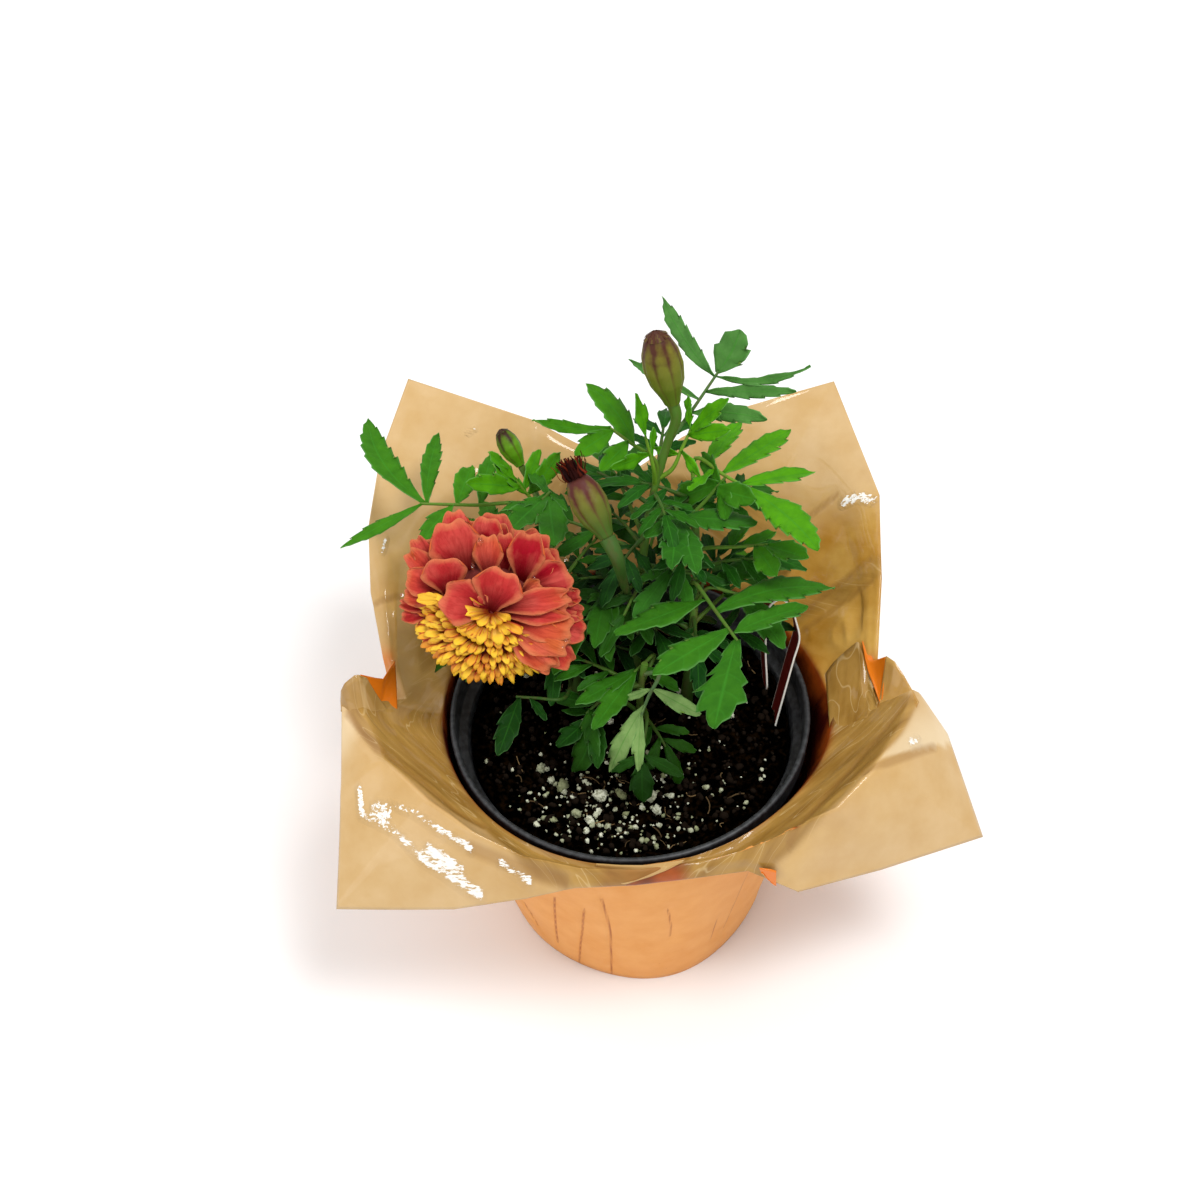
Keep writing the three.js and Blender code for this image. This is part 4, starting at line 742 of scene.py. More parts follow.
def petal_top():
    paint = Paint("petal_top", {"Roughness": 0.6, "Specular IOR Level": 0.08})
    along, hue = paint.value("blade", 1), paint.value("blade", 2)
    rim, soft = paint.value("tone", 0), paint.value("tone", 1)
    body = paint.mix(paint.spread(hue, 0.0, 0.4), (202, 98, 54), (190, 60, 54))
    body = paint.mix(paint.spread(hue, 0.4, 0.9), body, (152, 14, 34))
    cloud = paint.maths("ADD", soft, paint.spread(paint.grain(240, 3), 0.3, 0.7, -0.2, 0.2))
    body = paint.mix(paint.spread(cloud, 0.35, 0.95, 0.0, 0.55), body, (214, 98, 84))
    rays = paint.mapped(paint.vector("blade"), (7, 0.8, 9))
    ray = paint.spread(paint.grain(1.0, 3, 0.6, rays), 0.42, 0.6)
    body = paint.mix(paint.maths("MULTIPLY", ray, 0.3), body, (134, 22, 20))
    # Painted shade: petals darken to deep red towards their roots, down between the other petals.
    body = paint.mix(paint.spread(along, 0.05, 0.62, 0.97, 0.0), body, (80, 4, 6))
    edge = paint.maths("ADD", rim, paint.spread(paint.grain(500, 2), 0.3, 0.7, -0.04, 0.04))
    body = paint.mix(paint.spread(edge, 0.76, 1.0, 0.0, 0.75), body, (208, 122, 82))
    body = paint.mix(paint.spread(hue, 0.0, -0.8), body, (240, 186, 62))
    return paint.finish(body, paint.bump(ray, -0.1))


def petal_under():
    paint = Paint("petal_under", {"Roughness": 0.6, "Specular IOR Level": 0.1})
    base = paint.mix(paint.value("tone", 1), (206, 104, 52), (176, 62, 42))
    return paint.finish(base)


def floret_top():
    paint = Paint("floret_top", {"Roughness": 0.45, "Specular IOR Level": 0.25})
    across, along, hue = (paint.value("blade", part) for part in range(3))
    body = paint.mix(paint.spread(hue, 0.35, 1.2), (244, 194, 52), (212, 104, 36))
    side = paint.spread(paint.maths("ABSOLUTE", across), 0.66, 1.0)
    edge = paint.maths("MULTIPLY", side, paint.spread(hue, 0.0, 0.6, 0.6, 1.0))
    body = paint.mix(edge, body, (182, 54, 18))
    # Painted shade: florets darken towards their roots, down between each other.
    root = paint.spread(along, 0.15, 0.72, 0.95, 0.0)
    body = paint.mix(root, body, (120, 30, 8))
    return paint.finish(body, paint.bump(paint.grain(1500, 2), 0.05))


def floret_under():
    paint = Paint("floret_under", {"Roughness": 0.55})
    mottle = paint.spread(paint.grain(600, 2), 0.4, 0.6)
    return paint.finish(paint.mix(mottle, (214, 100, 38), (238, 160, 52)))


def receptacle():
    paint = Paint("receptacle", {"Roughness": 0.8})
    # Painted shade: a dark red-brown that fills the gaps between the florets.
    return paint.finish(paint.mix(paint.grain(500, 3), (70, 10, 8), (120, 30, 16)))


def bud_skin(name, low, high, dark, turn):
    """Green skin that turns dark towards the tip and between its ribs, from a share turn on."""
    paint = Paint(name, {"Roughness": 0.5, "Specular IOR Level": 0.2})
    rib, along = paint.value("blade", 0), paint.value("blade", 1)
    base = paint.mix(paint.spread(along, 0.1, 0.8), low, high)
    ground = paint.maths("ADD", along, paint.maths("MULTIPLY", rib, -0.36))
    streak = paint.maths("ADD", ground, paint.spread(paint.grain(350, 3), 0.3, 0.7, -0.12, 0.12))
    groove = paint.spread(rib, 0.1, 0.6, 0.5, 0.0)
    base = paint.mix(groove, base, (88, 60, 34))
    base = paint.mix(paint.spread(streak, turn - 0.2, turn + 0.2), base, dark)
    return paint.finish(base, paint.bump(paint.grain(900, 2), 0.05))


def dried_petal():
    paint = Paint("dried_petal", {"Roughness": 0.85, "Specular IOR Level": 0.1})
    base = paint.mix(paint.spread(paint.value("tone", 0), 0, 1), (30, 6, 5), (118, 44, 24))
    return paint.finish(base, paint.bump(paint.grain(1200, 3), 0.2))


def water():
    return Paint("water", {"Roughness": 0.02, "Transmission Weight": 1.0,
                           "IOR": 1.33, "Base Color": (1.0, 1.0, 1.0)}).material


def pale_floor():
    return Paint("pale_floor", {"Roughness": 0.9, "Base Color": (0.94, 0.94, 0.94),
                                "Specular IOR Level": 0.1}).material


# Paper cover

# Its zones, from the middle of its base out to its edge.
BASE, CUP, GAP, FUNNEL, FLAP = range(5)
BASE_ROWS = 5
CUP_ROWS = 30
FUNNEL_ROWS = 32
FLAP_ROWS = 30
SOFTENED_FROM_ROW = 7
MIDDLE_CUP_RADIUS = 50
TAB_COLUMNS = 33
TAB_ROWS = 13
# A distance from a line at which it leaves no mark.
FAR = 9.0


def cover_columns(step):
    """Lip azimuth, crease and edge of fine columns between the paper's folds."""
    lips, creases, edges = [], [], []
    for fold, following in zip(COVER_FOLDS, COVER_FOLDS[1:] + COVER_FOLDS[:1]):
        following_lip = following[0] + (360 if following[0] < fold[0] else 0)
        parts = math.ceil((following_lip - fold[0]) / step)
        share = np.arange(parts)[:, None] / parts
        lips.append(fold[0] + share[:, 0] * (following_lip - fold[0]))
        creases.append(polar(*fold[1]) * (1 - share) + polar(*following[1]) * share)
        edges.append(polar(*fold[2]) * (1 - share) + polar(*following[2]) * share)
    return np.concatenate(lips), np.vstack(creases), np.vstack(edges)


def swell(azimuth, bulge):
    return bulge["width"] * bell(azimuth, bulge["azimuth"], bulge["spread"])


def signed_azimuth(azimuth):
    return (azimuth + 180) % 360 - 180


def back_lines():
    """Pleat lines round the sides and back of the cup, drawn by chance."""
    generator = np.random.default_rng(11)
    lines = []
    for azimuth in range(-46, 216, 11):
        start = azimuth + generator.uniform(-4, 4)
        top, low = generator.uniform(48, 74), generator.uniform(0, 22)
        drift = generator.uniform(-6, 6)
        lines.append(([(start, top), (start + drift, low)], generator.uniform(0.4, 0.9)))
    return lines


def cup_pleats(azimuth, height):
    """How far the cup stands out beside its pleat lines, and the distance to the nearest."""
    out = np.zeros(azimuth.shape)
    nearest = np.full(azimuth.shape, FAR)
    for line, step in CUP_LINES + back_lines():
        spots, levels = zip(*line[::-1])
        turned = signed_azimuth(azimuth - np.interp(height, levels, spots))
        past = np.radians(turned) * MIDDLE_CUP_RADIUS
        within = (np.clip((levels[-1] - height) / 5, 0, 1)
                  * np.clip((height - levels[0]) / 5 + (levels[0] < 1), 0, 1))
        ramp = np.exp(-np.abs(past) / np.where(past >= 0, 4.5, 0.4))
        out += step * ramp * within
        away = np.abs(past) + 3 * (1 - within) + 0.25 * (step < 0.3)
        nearest = np.minimum(nearest, away)
    return out, nearest


def grid_normals(grid):
    """Normals of a sheet made of closed rings."""
    around = np.roll(grid, -1, axis=1) - np.roll(grid, 1, axis=1)
    normals = np.cross(around, np.gradient(grid, axis=0))
    return normals / np.maximum(np.linalg.norm(normals, axis=2), 1e-9)[..., None]


def cover_grid():
    lips, creases, edges = cover_columns(0.9)
    azimuth = signed_azimuth(lips)
    base_radius = COVER_BASE_RADIUS + swell(azimuth, BASE_BULGE)
    lip_radius = COVER_LIP_RADIUS + swell(azimuth, RIGHT_GAP)
    rows, kinds = [], []
    for share in np.linspace(0.08, 0.97, BASE_ROWS):
        rows.append(polar(azimuth, base_radius * share, 0.25))
        kinds.append((BASE, share))
    for share in np.linspace(0, 1, CUP_ROWS):
        radius = base_radius + share * (COVER_CUP_RADIUS - base_radius)
        rows.append(polar(azimuth, radius, 0.3 + share * (COVER_CUP_HEIGHT - 0.3)))
        kinds.append((CUP, share))
    lip = polar(azimuth, lip_radius, COVER_LIP_HEIGHT)
    cup = rows[-1]
    for share in (0.3, 0.6, 0.85):
        rows.append(cup + share * (lip - cup))
        kinds.append((GAP, share))
    for share in np.linspace(0, 1, FUNNEL_ROWS, endpoint=False):
        rows.append(lip + share * (creases - lip) - 1.5 * UP * 4 * share * (1 - share))
        kinds.append((FUNNEL, share))
    for share in np.linspace(0, 1, FLAP_ROWS):
        rows.append(creases + share * (edges - creases) + UP * 4 * share * (1 - share))
        kinds.append((FLAP, share))
    return np.array(rows), np.array(kinds), azimuth


def line_distance(points, lines):
    """Distance over the plan from the nearest of some lines."""
    nearest = np.full(points.shape[:-1], FAR)
    for line, half_width in lines:
        for start, end in zip(np.array(line), np.array(line)[1:]):
            along = end - start
            share = np.clip((points[..., :2] - start) @ along / along.dot(along), 0, 1)
            away = np.linalg.norm(points[..., :2] - start - share[..., None] * along, axis=-1)
            nearest = np.minimum(nearest, np.maximum(away - half_width, 0))
    return nearest


def paper_flow(points):
    """Coordinates along and across the wrinkles, which run beside the crease of each flap."""
    turn = np.arctan2(points[..., 1], points[..., 0])
    total = np.full(turn.shape, 1e-6)
    for facing in CREASE_FACINGS:
        ahead = (points[..., 0] * math.cos(math.radians(facing))
                 + points[..., 1] * math.sin(math.radians(facing)))
        total = total + np.maximum(ahead, 0) ** 8
    return layers(5 * np.cos(turn), 5 * np.sin(turn), 0.6 * total ** 0.125)


def paper_wrinkles(around, level, kind, flow):
    """How far the paper lifts: sharp wrinkles in the funnel, a soft wave out in the flaps."""
    turn = (around / 360) % 1
    wrinkles = creased(5, turn * 22, flow[..., 2] * 0.55, 22) - 0.6
    creases = creased(7, turn * 11, flow[..., 2] * 0.26, 11) - 0.6
    smooth_back = 1 - 0.8 * bell(around, 128, 45)
    smooth_back -= 0.5 * bell(around, 42, 18)
    sharp = smooth_back * (0.25 * wrinkles + 0.6 * creases)
    crumples = creased(13, turn * 44, level * 3.2, 44) - 0.6
    crumpled = 1.8 * bell(around, 18, 9) * crumples
    funnel = np.where(kind == FUNNEL, np.minimum(1, level * 5), 0) * (sharp + crumpled)
    wave = level * 0.9 * noise(9, turn * 18, level * 2.3, 18)
    return funnel + np.where(kind == FLAP, np.exp(-level * 7) * sharp + wave, 0)


def bare_outside(around, kind, points):
    """Share of the orange outside that shows at the two side notches."""
    outer = np.clip((np.hypot(points[..., 0], points[..., 1]) - 72.5) / 2, 0, 1)
    bare = outer * bell(around, 169, 2.4) + 0.7 * bell(around, 6, 1.6)
    return np.where(kind == FLAP, 0.7 * bare, 0)


def make_cover(materials):
    grid, kinds, azimuth = cover_grid()
    for _ in range(2):
        middle = (grid[:-2] + 2 * grid[1:-1] + grid[2:]) / 4
        grid[SOFTENED_FROM_ROW:-1] = middle[SOFTENED_FROM_ROW - 1:]
    around, level, kind = np.broadcast_arrays(azimuth[None, :], kinds[:, 1:], kinds[:, :1])
    pleats, nearest = cup_pleats(around, grid[..., 2])
    uneven = 0.25 * noise(3, (around / 360) % 1 * 40, level * 5, 40)
    wall = np.where(kind == CUP, pleats - 0.5 + uneven, 0) * np.minimum(1, level * 8)
    flow = paper_flow(grid)
    folds = [(line, FOLD_HALF_WIDTH) for line in FOLD_LINES]
    folded = np.where(kind >= FUNNEL, line_distance(grid, folds), FAR)
    lift = wall + paper_wrinkles(around, level, kind, flow) - 0.3 * bell(folded, 0, 0.8)
    grid = grid - grid_normals(grid) * lift[..., None]
    grid[..., 2] = np.maximum(grid[..., 2], 0.15)
    sheet = paper_tone(around, level, kind, grid)
    # Distance to the lines of painted highlight.
    glint = np.where(kind == FLAP, line_distance(grid, GLINT_LINES), FAR)
    marked = np.where(kind == CUP, nearest, folded)
    fold = layers(marked, glint, bare_outside(around, kind, grid))
    skin = Skin("sheet", "flow", "fold")
    skin.grid(grid, closed=True, sheet=sheet, flow=flow, fold=fold)
    skin.fan((0, 0, 0.25), grid[0][::-1], fold=(FAR, FAR, 0))
    for upper, lower, look in PAPER_TABS:
        add_paper_tab(skin, upper, lower, look)
    upper, lower = ([polar(*point) for point in line] for line in FRONT_LAYER)
    # The front layer carries some painted khaki shade.
    add_paper_tab(skin, upper, lower, (0.4, 0.25, 0))
    make_piece("paper_cover", skin, materials, ["pot_cover"], 0.28)


def add_paper_tab(skin, upper, lower, look):
    """A sheet between two lines, that sags a little towards its lower line."""
    upper, lower = even_line(upper, TAB_COLUMNS), even_line(lower, TAB_COLUMNS)
    share = np.linspace(0, 1, TAB_ROWS)[:, None]
    points = upper + share[..., None] * (lower - upper)
    points[..., 2] += share * (1 - share) * (lower - upper)[:, 2]
    khaki, golden, outside = look
    flow = paper_flow(points)
    if not golden:
        along = np.linspace(0, 5, TAB_COLUMNS)
        flow = layers(3 * share, 0, along)
    lift = creased(5, flow[..., 0] + 9, flow[..., 2] * 0.8) - 0.6
    points = points + 0.3 * (lift * np.sin(np.pi * share))[..., None] * UP
    skin.grid(points, flow=flow, sheet=(khaki, golden, 0), fold=(FAR, FAR, outside))


def paper_tone(azimuth, level, kind, points):
    """Shares of painted khaki shade, golden brown or painted pale sheen, and painted dark red shade
    of paper in the gap.
    """
    x, y = points[..., 0], points[..., 1]
    radius = np.hypot(x, y)
    edge = np.interp(azimuth, *zip(*SHADE_EDGE))
    # Painted shade on the inner paper, up to the shade edge, weaker at the back and on the left.
    shade = 1 / (1 + np.exp(np.clip((radius - edge) * 3, -30, 30)))
    shade = shade * (1 - 0.7 * bell(azimuth, 128, 42))
    shade = shade * (1 - 0.4 * bell(azimuth, 172, 12))
    # On the back right flap: golden paper and a band of painted shade.
    right = np.where((x > 30) & (azimuth > 2), np.clip((62 - y) / 16, 0, 1), 0)
    band = np.exp(-((y - 32) / 3.6) ** 4)
    shade = shade * (1 - right) + right * np.maximum(0.12, 0.75 * band)
    left = 0.6 * bell(azimuth, 160, 12) * np.clip(1.1 - level, 0, 1)
    beyond = np.clip((radius - edge) / 14, 0, 1)
    golden = np.where(kind >= FUNNEL, 0.9 * right + left + 0.3 * (1 - beyond), 0)
    # Painted sheen: a pale patch above the fold line on the front right flap, and one on the left
    # flap.
    above = (y + 35.5) * 0.857 - (x - 66.4) * 0.516
    sheen = np.clip(above * 2, 0, 1) * np.clip(1.2 - above / 16, 0, 1)
    sheen = np.where((x > 60) & (y < -2), sheen, 0)
    sheen = sheen + bell(x, -86, 7) * bell(y, -12, 9)
    golden = np.clip(golden, 0, 1) - np.where(kind == FLAP, sheen * (1 - shade), 0)
    # Painted shade: dark red inside the cup and the gap and on the funnel just over the lip, and a
    # wedge of shadow under the front layer.
    turned = np.where(kind <= GAP, 1.0, np.where(kind == FUNNEL, np.exp(-level * 22), 0))
    front = np.clip((azimuth + 100) / 3, 0, 1) * np.clip((-74 - azimuth) / 5, 0, 1)
    under = np.clip((radius - 61 + 0.19 * (azimuth + 90)) * 3, 0, 1)
    front = np.where(kind >= FUNNEL, (0.3 + 0.62 * under) * front, 0)
    return layers(shade, golden, np.maximum(turned, front))


# Nursery pot and soil

def make_pot(material):
    foot = POT_TOP - POT_RIM_BAND
    wall = POT_WALL
    outline = [
        (DRAIN_CIRCLE + 10, POT_FLOOR + 0.6), (POT_BASE_RADIUS - 2, POT_FLOOR),
        (POT_BASE_RADIUS - 0.5, POT_FLOOR + 0.1), (POT_BASE_RADIUS, POT_FLOOR + 0.7),
        (POT_NECK_RADIUS - 0.1, foot - 1.4), (POT_NECK_RADIUS + 0.3, foot - 0.9),
        (POT_RIM_RADIUS - 1, foot - 0.1), (POT_RIM_RADIUS - 0.5, foot + 0.2),
        (POT_RIM_RADIUS - 0.3, foot + 0.9), (POT_RIM_RADIUS, POT_TOP - 1.2),
        (POT_RIM_RADIUS + 0.15, POT_TOP - 0.7), (POT_RIM_RADIUS, POT_TOP - 0.25),
        (POT_RIM_RADIUS - 0.5, POT_TOP), (POT_RIM_RADIUS - 1.2, POT_TOP - 0.05),
        (POT_RIM_RADIUS - 1.6, POT_TOP - 0.5), (POT_RIM_RADIUS - wall - 0.6, foot + 2.4),
        (POT_RIM_RADIUS - wall - 1.1, foot + 1.5), (POT_NECK_RADIUS - wall + 0.4, foot + 0.7),
        (POT_NECK_RADIUS - wall, foot), (POT_BASE_RADIUS - wall, POT_FLOOR + wall + 0.6),
        (POT_BASE_RADIUS - wall - 0.8, POT_FLOOR + wall), (DRAIN_CIRCLE + 10, POT_FLOOR + wall),
    ]
    outline = outline + [outline[0]]
    turns = np.arange(180) * 2.0
    skin = Skin()
    skin.grid(np.array([polar(turns, radius, height) for radius, height in outline])[:, ::-1],
              closed=True)
    floor_disc(skin, DRAIN_CIRCLE + 10)
    make_piece("nursery_pot_shell", skin, [material], ["nursery_pot"])


def floor_disc(skin, reach):
    """The pot's floor: a flat disc with round drain holes, as a top and a bottom sheet."""
    turns = np.arange(0, 360, 2.5)
    sector = 360 / DRAIN_HOLES
    inside = DRAIN_CIRCLE - 10
    for height, flipped in ((POT_FLOOR + POT_WALL, False), (POT_FLOOR + 0.3, True)):
        disc = np.array([polar(turns, radius, height) for radius in (1, inside)])
        skin.grid(disc if flipped else disc[:, ::-1], closed=True)
        for hole in range(DRAIN_HOLES):
            middle = polar(hole * sector, DRAIN_CIRCLE, height)
            around = np.linspace(0, 360, 49)[:-1]
            ring = middle + polar(around, DRAIN_RADIUS, 0)
            radius = np.hypot(ring[:, 0] - middle[0], ring[:, 1] - middle[1])
            direction = (ring - middle) / radius[:, None]
            outer = sector_edge(middle, direction, hole * sector, sector / 2, inside, reach)
            panel = np.array([ring, outer])
            skin.grid(panel if flipped else panel[:, ::-1], closed=True)
    for hole in range(DRAIN_HOLES):
        around = np.linspace(0, 360, 25)[:-1]
        ring = polar(hole * sector, DRAIN_CIRCLE, 0) + polar(around, DRAIN_RADIUS, 0)
        wall = np.array([ring + UP * (POT_FLOOR + 0.3), ring + UP * (POT_FLOOR + POT_WALL)])
        skin.grid(wall, closed=True)


def sector_edge(middle, direction, heading, half, inside, reach):
    """Where rays from a drain hole's middle leave its sector of the floor."""
    steps = np.linspace(DRAIN_RADIUS + 0.1, 2 * reach, 600)
    points = middle + direction[:, None, :] * steps[None, :, None]
    radius = np.hypot(points[..., 0], points[..., 1])
    azimuth = np.degrees(np.arctan2(points[..., 1], points[..., 0]))
    off = np.abs(signed_azimuth(azimuth - heading))
    within = (radius < reach) & (radius > inside) & (off < half)
    last = np.argmin(within, axis=1) - 1
    return points[np.arange(len(points)), last]


def soil_height(x, y):
    return (SOIL_LEVEL + 0.9 * np.sin(0.21 * x + 1.3) * np.cos(0.17 * y)
            + 0.6 * np.sin(0.47 * x - 0.39 * y) + 0.4 * np.cos(0.83 * y + 0.5 * x))


def soil_bumps(x, y):
    rough = noise(21, x / 4 + 32, y / 4 + 32) + 0.7 * noise(22, x / 1.9 + 60, y / 1.9 + 60)
    return soil_height(x, y) + 0.55 * rough + 0.35 * noise(23, x / 0.9 + 80, y / 0.9 + 80)


def make_soil(material):
    turns = np.arange(0, 360, 1.25)
    rows = []
    for radius in np.linspace(0.4, SOIL_RADIUS, 92):
        ring = polar(turns, radius, 0)
        ring[:, 2] = soil_bumps(ring[:, 0], ring[:, 1])
        rows.append(ring)
    rim = rows[-1].copy()
    rim[:, 2] -= 3
    wall_slope = (POT_NECK_RADIUS - POT_BASE_RADIUS) / (POT_TOP - POT_RIM_BAND - POT_FLOOR)
    floor = POT_FLOOR + POT_WALL + 0.3
    foot_radius = POT_BASE_RADIUS - POT_WALL - 0.6 + wall_slope * (floor - POT_FLOOR)
    rows += [rim, polar(turns, foot_radius, floor)]
    skin = Skin()
    skin.grid(np.array(rows), closed=True)
    skin.fan((0, 0, soil_bumps(np.array(0.0), np.array(0.0))), rows[0])
    skin.fan((0, 0, floor), rows[-1][::-1])
    make_piece("soil_surface", skin, [material], ["soil"])


def icosphere(detail):
    """Points and faces of a ball of radius 1."""
    golden = (1 + math.sqrt(5)) / 2
    points = [unit(p) for p in (
        (-1, golden, 0), (1, golden, 0), (-1, -golden, 0), (1, -golden, 0), (0, -1, golden),
        (0, 1, golden), (0, -1, -golden), (0, 1, -golden), (golden, 0, -1), (golden, 0, 1),
        (-golden, 0, -1), (-golden, 0, 1))]
    faces = [(0, 11, 5), (0, 5, 1), (0, 1, 7), (0, 7, 10), (0, 10, 11), (1, 5, 9), (5, 11, 4),
             (11, 10, 2), (10, 7, 6), (7, 1, 8), (3, 9, 4), (3, 4, 2), (3, 2, 6), (3, 6, 8),
             (3, 8, 9), (4, 9, 5), (2, 4, 11), (6, 2, 10), (8, 6, 7), (9, 8, 1)]
    for _ in range(detail):
        middles, finer = {}, []

        def middle(a, b):
            key = (min(a, b), max(a, b))
            if key not in middles:
                middles[key] = len(points)
                points.append(unit(points[a] + points[b]))
            return middles[key]

        for a, b, c in faces:
            ab, bc, ca = middle(a, b), middle(b, c), middle(c, a)
            finer += [(a, ab, ca), (b, bc, ab), (c, ca, bc), (ab, bc, ca)]
        faces = finer
    return np.array(points), np.array(faces)


def grain_place(generator, front):
    """A place on the soil, oftener near the front when front is larger."""
    while True:
        radius = (SOIL_RADIUS - 3) * math.sqrt(generator.random())
        azimuth = generator.uniform(-180, 180)
        x, y = radius * math.cos(math.radians(azimuth)), radius * math.sin(math.radians(azimuth))
        closeness = bell(x, -8, 26) * bell(y, -34, 16)
        if generator.random() < (1 - front) + front * closeness:
            return x, y


def add_grain(skin, generator, ball, place, size, flatness, sunk, tone):
    points, faces = ball
    stretch = size / 2 * generator.uniform(0.75, 1.2, 3) * (1, 1, flatness)
    rough = 1 + generator.normal(0, 0.17, len(points))
    turned = np.array(Euler(np.radians(generator.uniform(-180, 180, 3))).to_matrix())
    spot = np.array([*place, float(soil_bumps(np.array(place[0]), np.array(place[1])))])
    shape = (points * rough[:, None] * stretch) @ turned.T
    skin.add(spot + UP * (size * (0.5 * flatness - sunk)) + shape, faces, tone=(tone, 0, 0))


# The largest perlite grains, by place and size.
LARGE_GRAINS = [((-9.5, -26), 4.6), ((-21, -21), 3.6), ((-17, -31), 3.4), ((-3.5, -25.5), 3.4),
                ((5.5, -27), 3.8), ((7, -31.5), 3), ((-27.5, -14), 2.8), ((-13, -34), 2.6),
                ((-24.5, -18.5), 2.6), ((31.5, 2), 2.4)]


def make_perlite(material):
    generator = np.random.default_rng(31)
    coarse, fine = icosphere(2), icosphere(1)
    skin = Skin("tone")
    for place, size in LARGE_GRAINS:
        add_grain(skin, generator, coarse, place, size, 0.8, 0.15, generator.random())
    for _ in range(330):
        size = 0.7 + 1.5 * generator.random() ** 3
        place = grain_place(generator, 0.93)
        add_grain(skin, generator, fine, place, size, 0.8, 0.2, generator.random())
    make_piece("perlite_grains", skin, [material], [])


def make_crumbs(material):
    generator = np.random.default_rng(37)
    ball = icosphere(0)
    skin = Skin("tone")
    for _ in range(900):
        size = 0.8 + 2 * generator.random() ** 2
        add_grain(skin, generator, ball, grain_place(generator, 0), size, 0.8, 0.25, 0)
    for _ in range(60):
        place = grain_place(generator, 0.7)
        length, heading = generator.uniform(1.5, 6), generator.uniform(0, 360)
        shares = np.linspace(-0.5, 0.5, 5)
        bend = generator.uniform(-1, 1)
        line = polar(heading, shares * length, 0) + polar(heading + 90, bend * shares ** 2 * 4, 0)
        line[:, :2] += place
        line[:, 2] = soil_bumps(line[:, 0], line[:, 1]) + 0.25
        thickness = generator.uniform(0.1, 0.28)
        add_tube(skin, line, thickness, 4, tone=(0.2 + 0.8 * generator.random() ** 2, 0, 0))
    make_piece("soil_fibres", skin, [material], [])


# Plant label

LABEL_ROWS = 90


def make_label(material):
    line = smooth_line(LABEL["path"], LABEL_ROWS)
    ahead = np.gradient(line, axis=0)
    across = unit(LABEL["across"])
    facing = np.cross(across, ahead)
    facing /= np.linalg.norm(facing, axis=1)[:, None]
    share = np.linspace(0, 1, LABEL_ROWS)
    width = np.interp(share, [0, 0.06, 0.93, 0.98, 1],
                      [LABEL["foot_width"], LABEL["width"], LABEL["width"], LABEL["width"] - 1,
                       LABEL["end_width"]])
    sides = np.array([-1, -0.93, -0.86, -0.5, 0, 0.5, 0.86, 0.93, 1])
    grid = (line[:, None] + across * (width[:, None] / 2 * sides)[..., None]
            + facing[:, None] * LABEL["thickness"] / 2)
    edge = np.broadcast_to((np.abs(sides) > 0.9).astype(float), grid.shape[:2])
    skin = Skin("tone")
    skin.grid(grid[:, ::-1], tone=edge[:, ::-1, None] * (1, 0, 0))
    make_piece("plant_label_strip", skin, [material], ["plant_label"],
               LABEL["thickness"])


# Leaves and stems

def leaf_sheet(leaf, along, aside, drop):
    """Points of a leaf's curved sheet, along its rib and to its side, lowered by a drop."""
    along, aside, drop = np.broadcast_arrays(*(np.asarray(v, float) for v in (along, aside, drop)))
    azimuth, start = math.radians(leaf["azimuth"]), math.radians(leaf["rise"])
    curl = math.radians(leaf.get("curl", 0)) / leaf["length"]
    pitch = start - np.where(along > 0, curl, 0) * along
    bent = (along > 0) & (curl > 0)
    reach = np.where(bent, (math.sin(start) - np.sin(pitch)) / (curl or 1),
                     along * math.cos(start))
    climb = np.where(bent, (np.cos(pitch) - math.cos(start)) / (curl or 1),
                     along * math.sin(start))
    outward = np.array([math.cos(azimuth), math.sin(azimuth), 0])
    level = np.array([-math.sin(azimuth), math.cos(azimuth), 0])
    ahead = outward * np.cos(pitch)[..., None] + UP * np.sin(pitch)[..., None]
    normal = np.cross(ahead, level)
    return (leaf["base"] + outward * reach[..., None] + UP * climb[..., None]
            + level * aside[..., None] - normal * drop[..., None])


STEM_RINGS = 121
STEM_SIDES = 14
STALK_RINGS = 26
STALK_SIDES = 8
LEAFLET_SLENDERNESS = 3.1
STIFF_DROOP = 0.04
SOFT_DROOP = 0.16
TOOTH_ROWS = (0, 0.35, 0.7, 0.93)
LEAFLET_COLUMNS = (-1, -0.66, -0.33, 0, 0.33, 0.66, 1)
TOOTH_DEPTH = 0.22
LOBE_DEPTH = 0.42
# Half width of a leaflet by share of its length: a lance, and a broad one with deep lobes.
LANCE = ([0, 0.06, 0.16, 0.3, 0.46, 0.6, 0.76, 0.9, 1],
         [0.13, 0.22, 0.54, 0.9, 1.1, 1.08, 0.86, 0.46, 0.03])
LOBED = ([0, 0.1, 0.25, 0.42, 0.6, 0.72, 0.85, 1],
         [0.16, 0.27, 0.5, 0.88, 1.16, 1.04, 0.64, 0.03])


def leaflet_sizes(along, angle, length, width=None, bow=0):
    """The entry of a leaflet, with the usual width and no bow where it names none."""
    return along, angle, length, width or length / LEAFLET_SLENDERNESS, bow


def leaflet_plan(s, v, half, length, teeth, depth):
    """How far forward and aside the points of a toothed leaflet lie, without its bow."""
    tooth = (s * teeth + np.where(v < 0, 0.0, 0.4)) % 1
    inner = np.clip((s - 0.12) * 8, 0, 1) * np.clip((1.02 - s) * 8, 0, 1)
    cut = 1 - depth * inner * (1 - tooth ** 1.2)
    edge = v * v
    aside = half * v * (1 - edge + edge * cut)
    forward = 0.35 + length * (s + edge * inner * tooth * 0.22 / teeth)
    return forward, aside


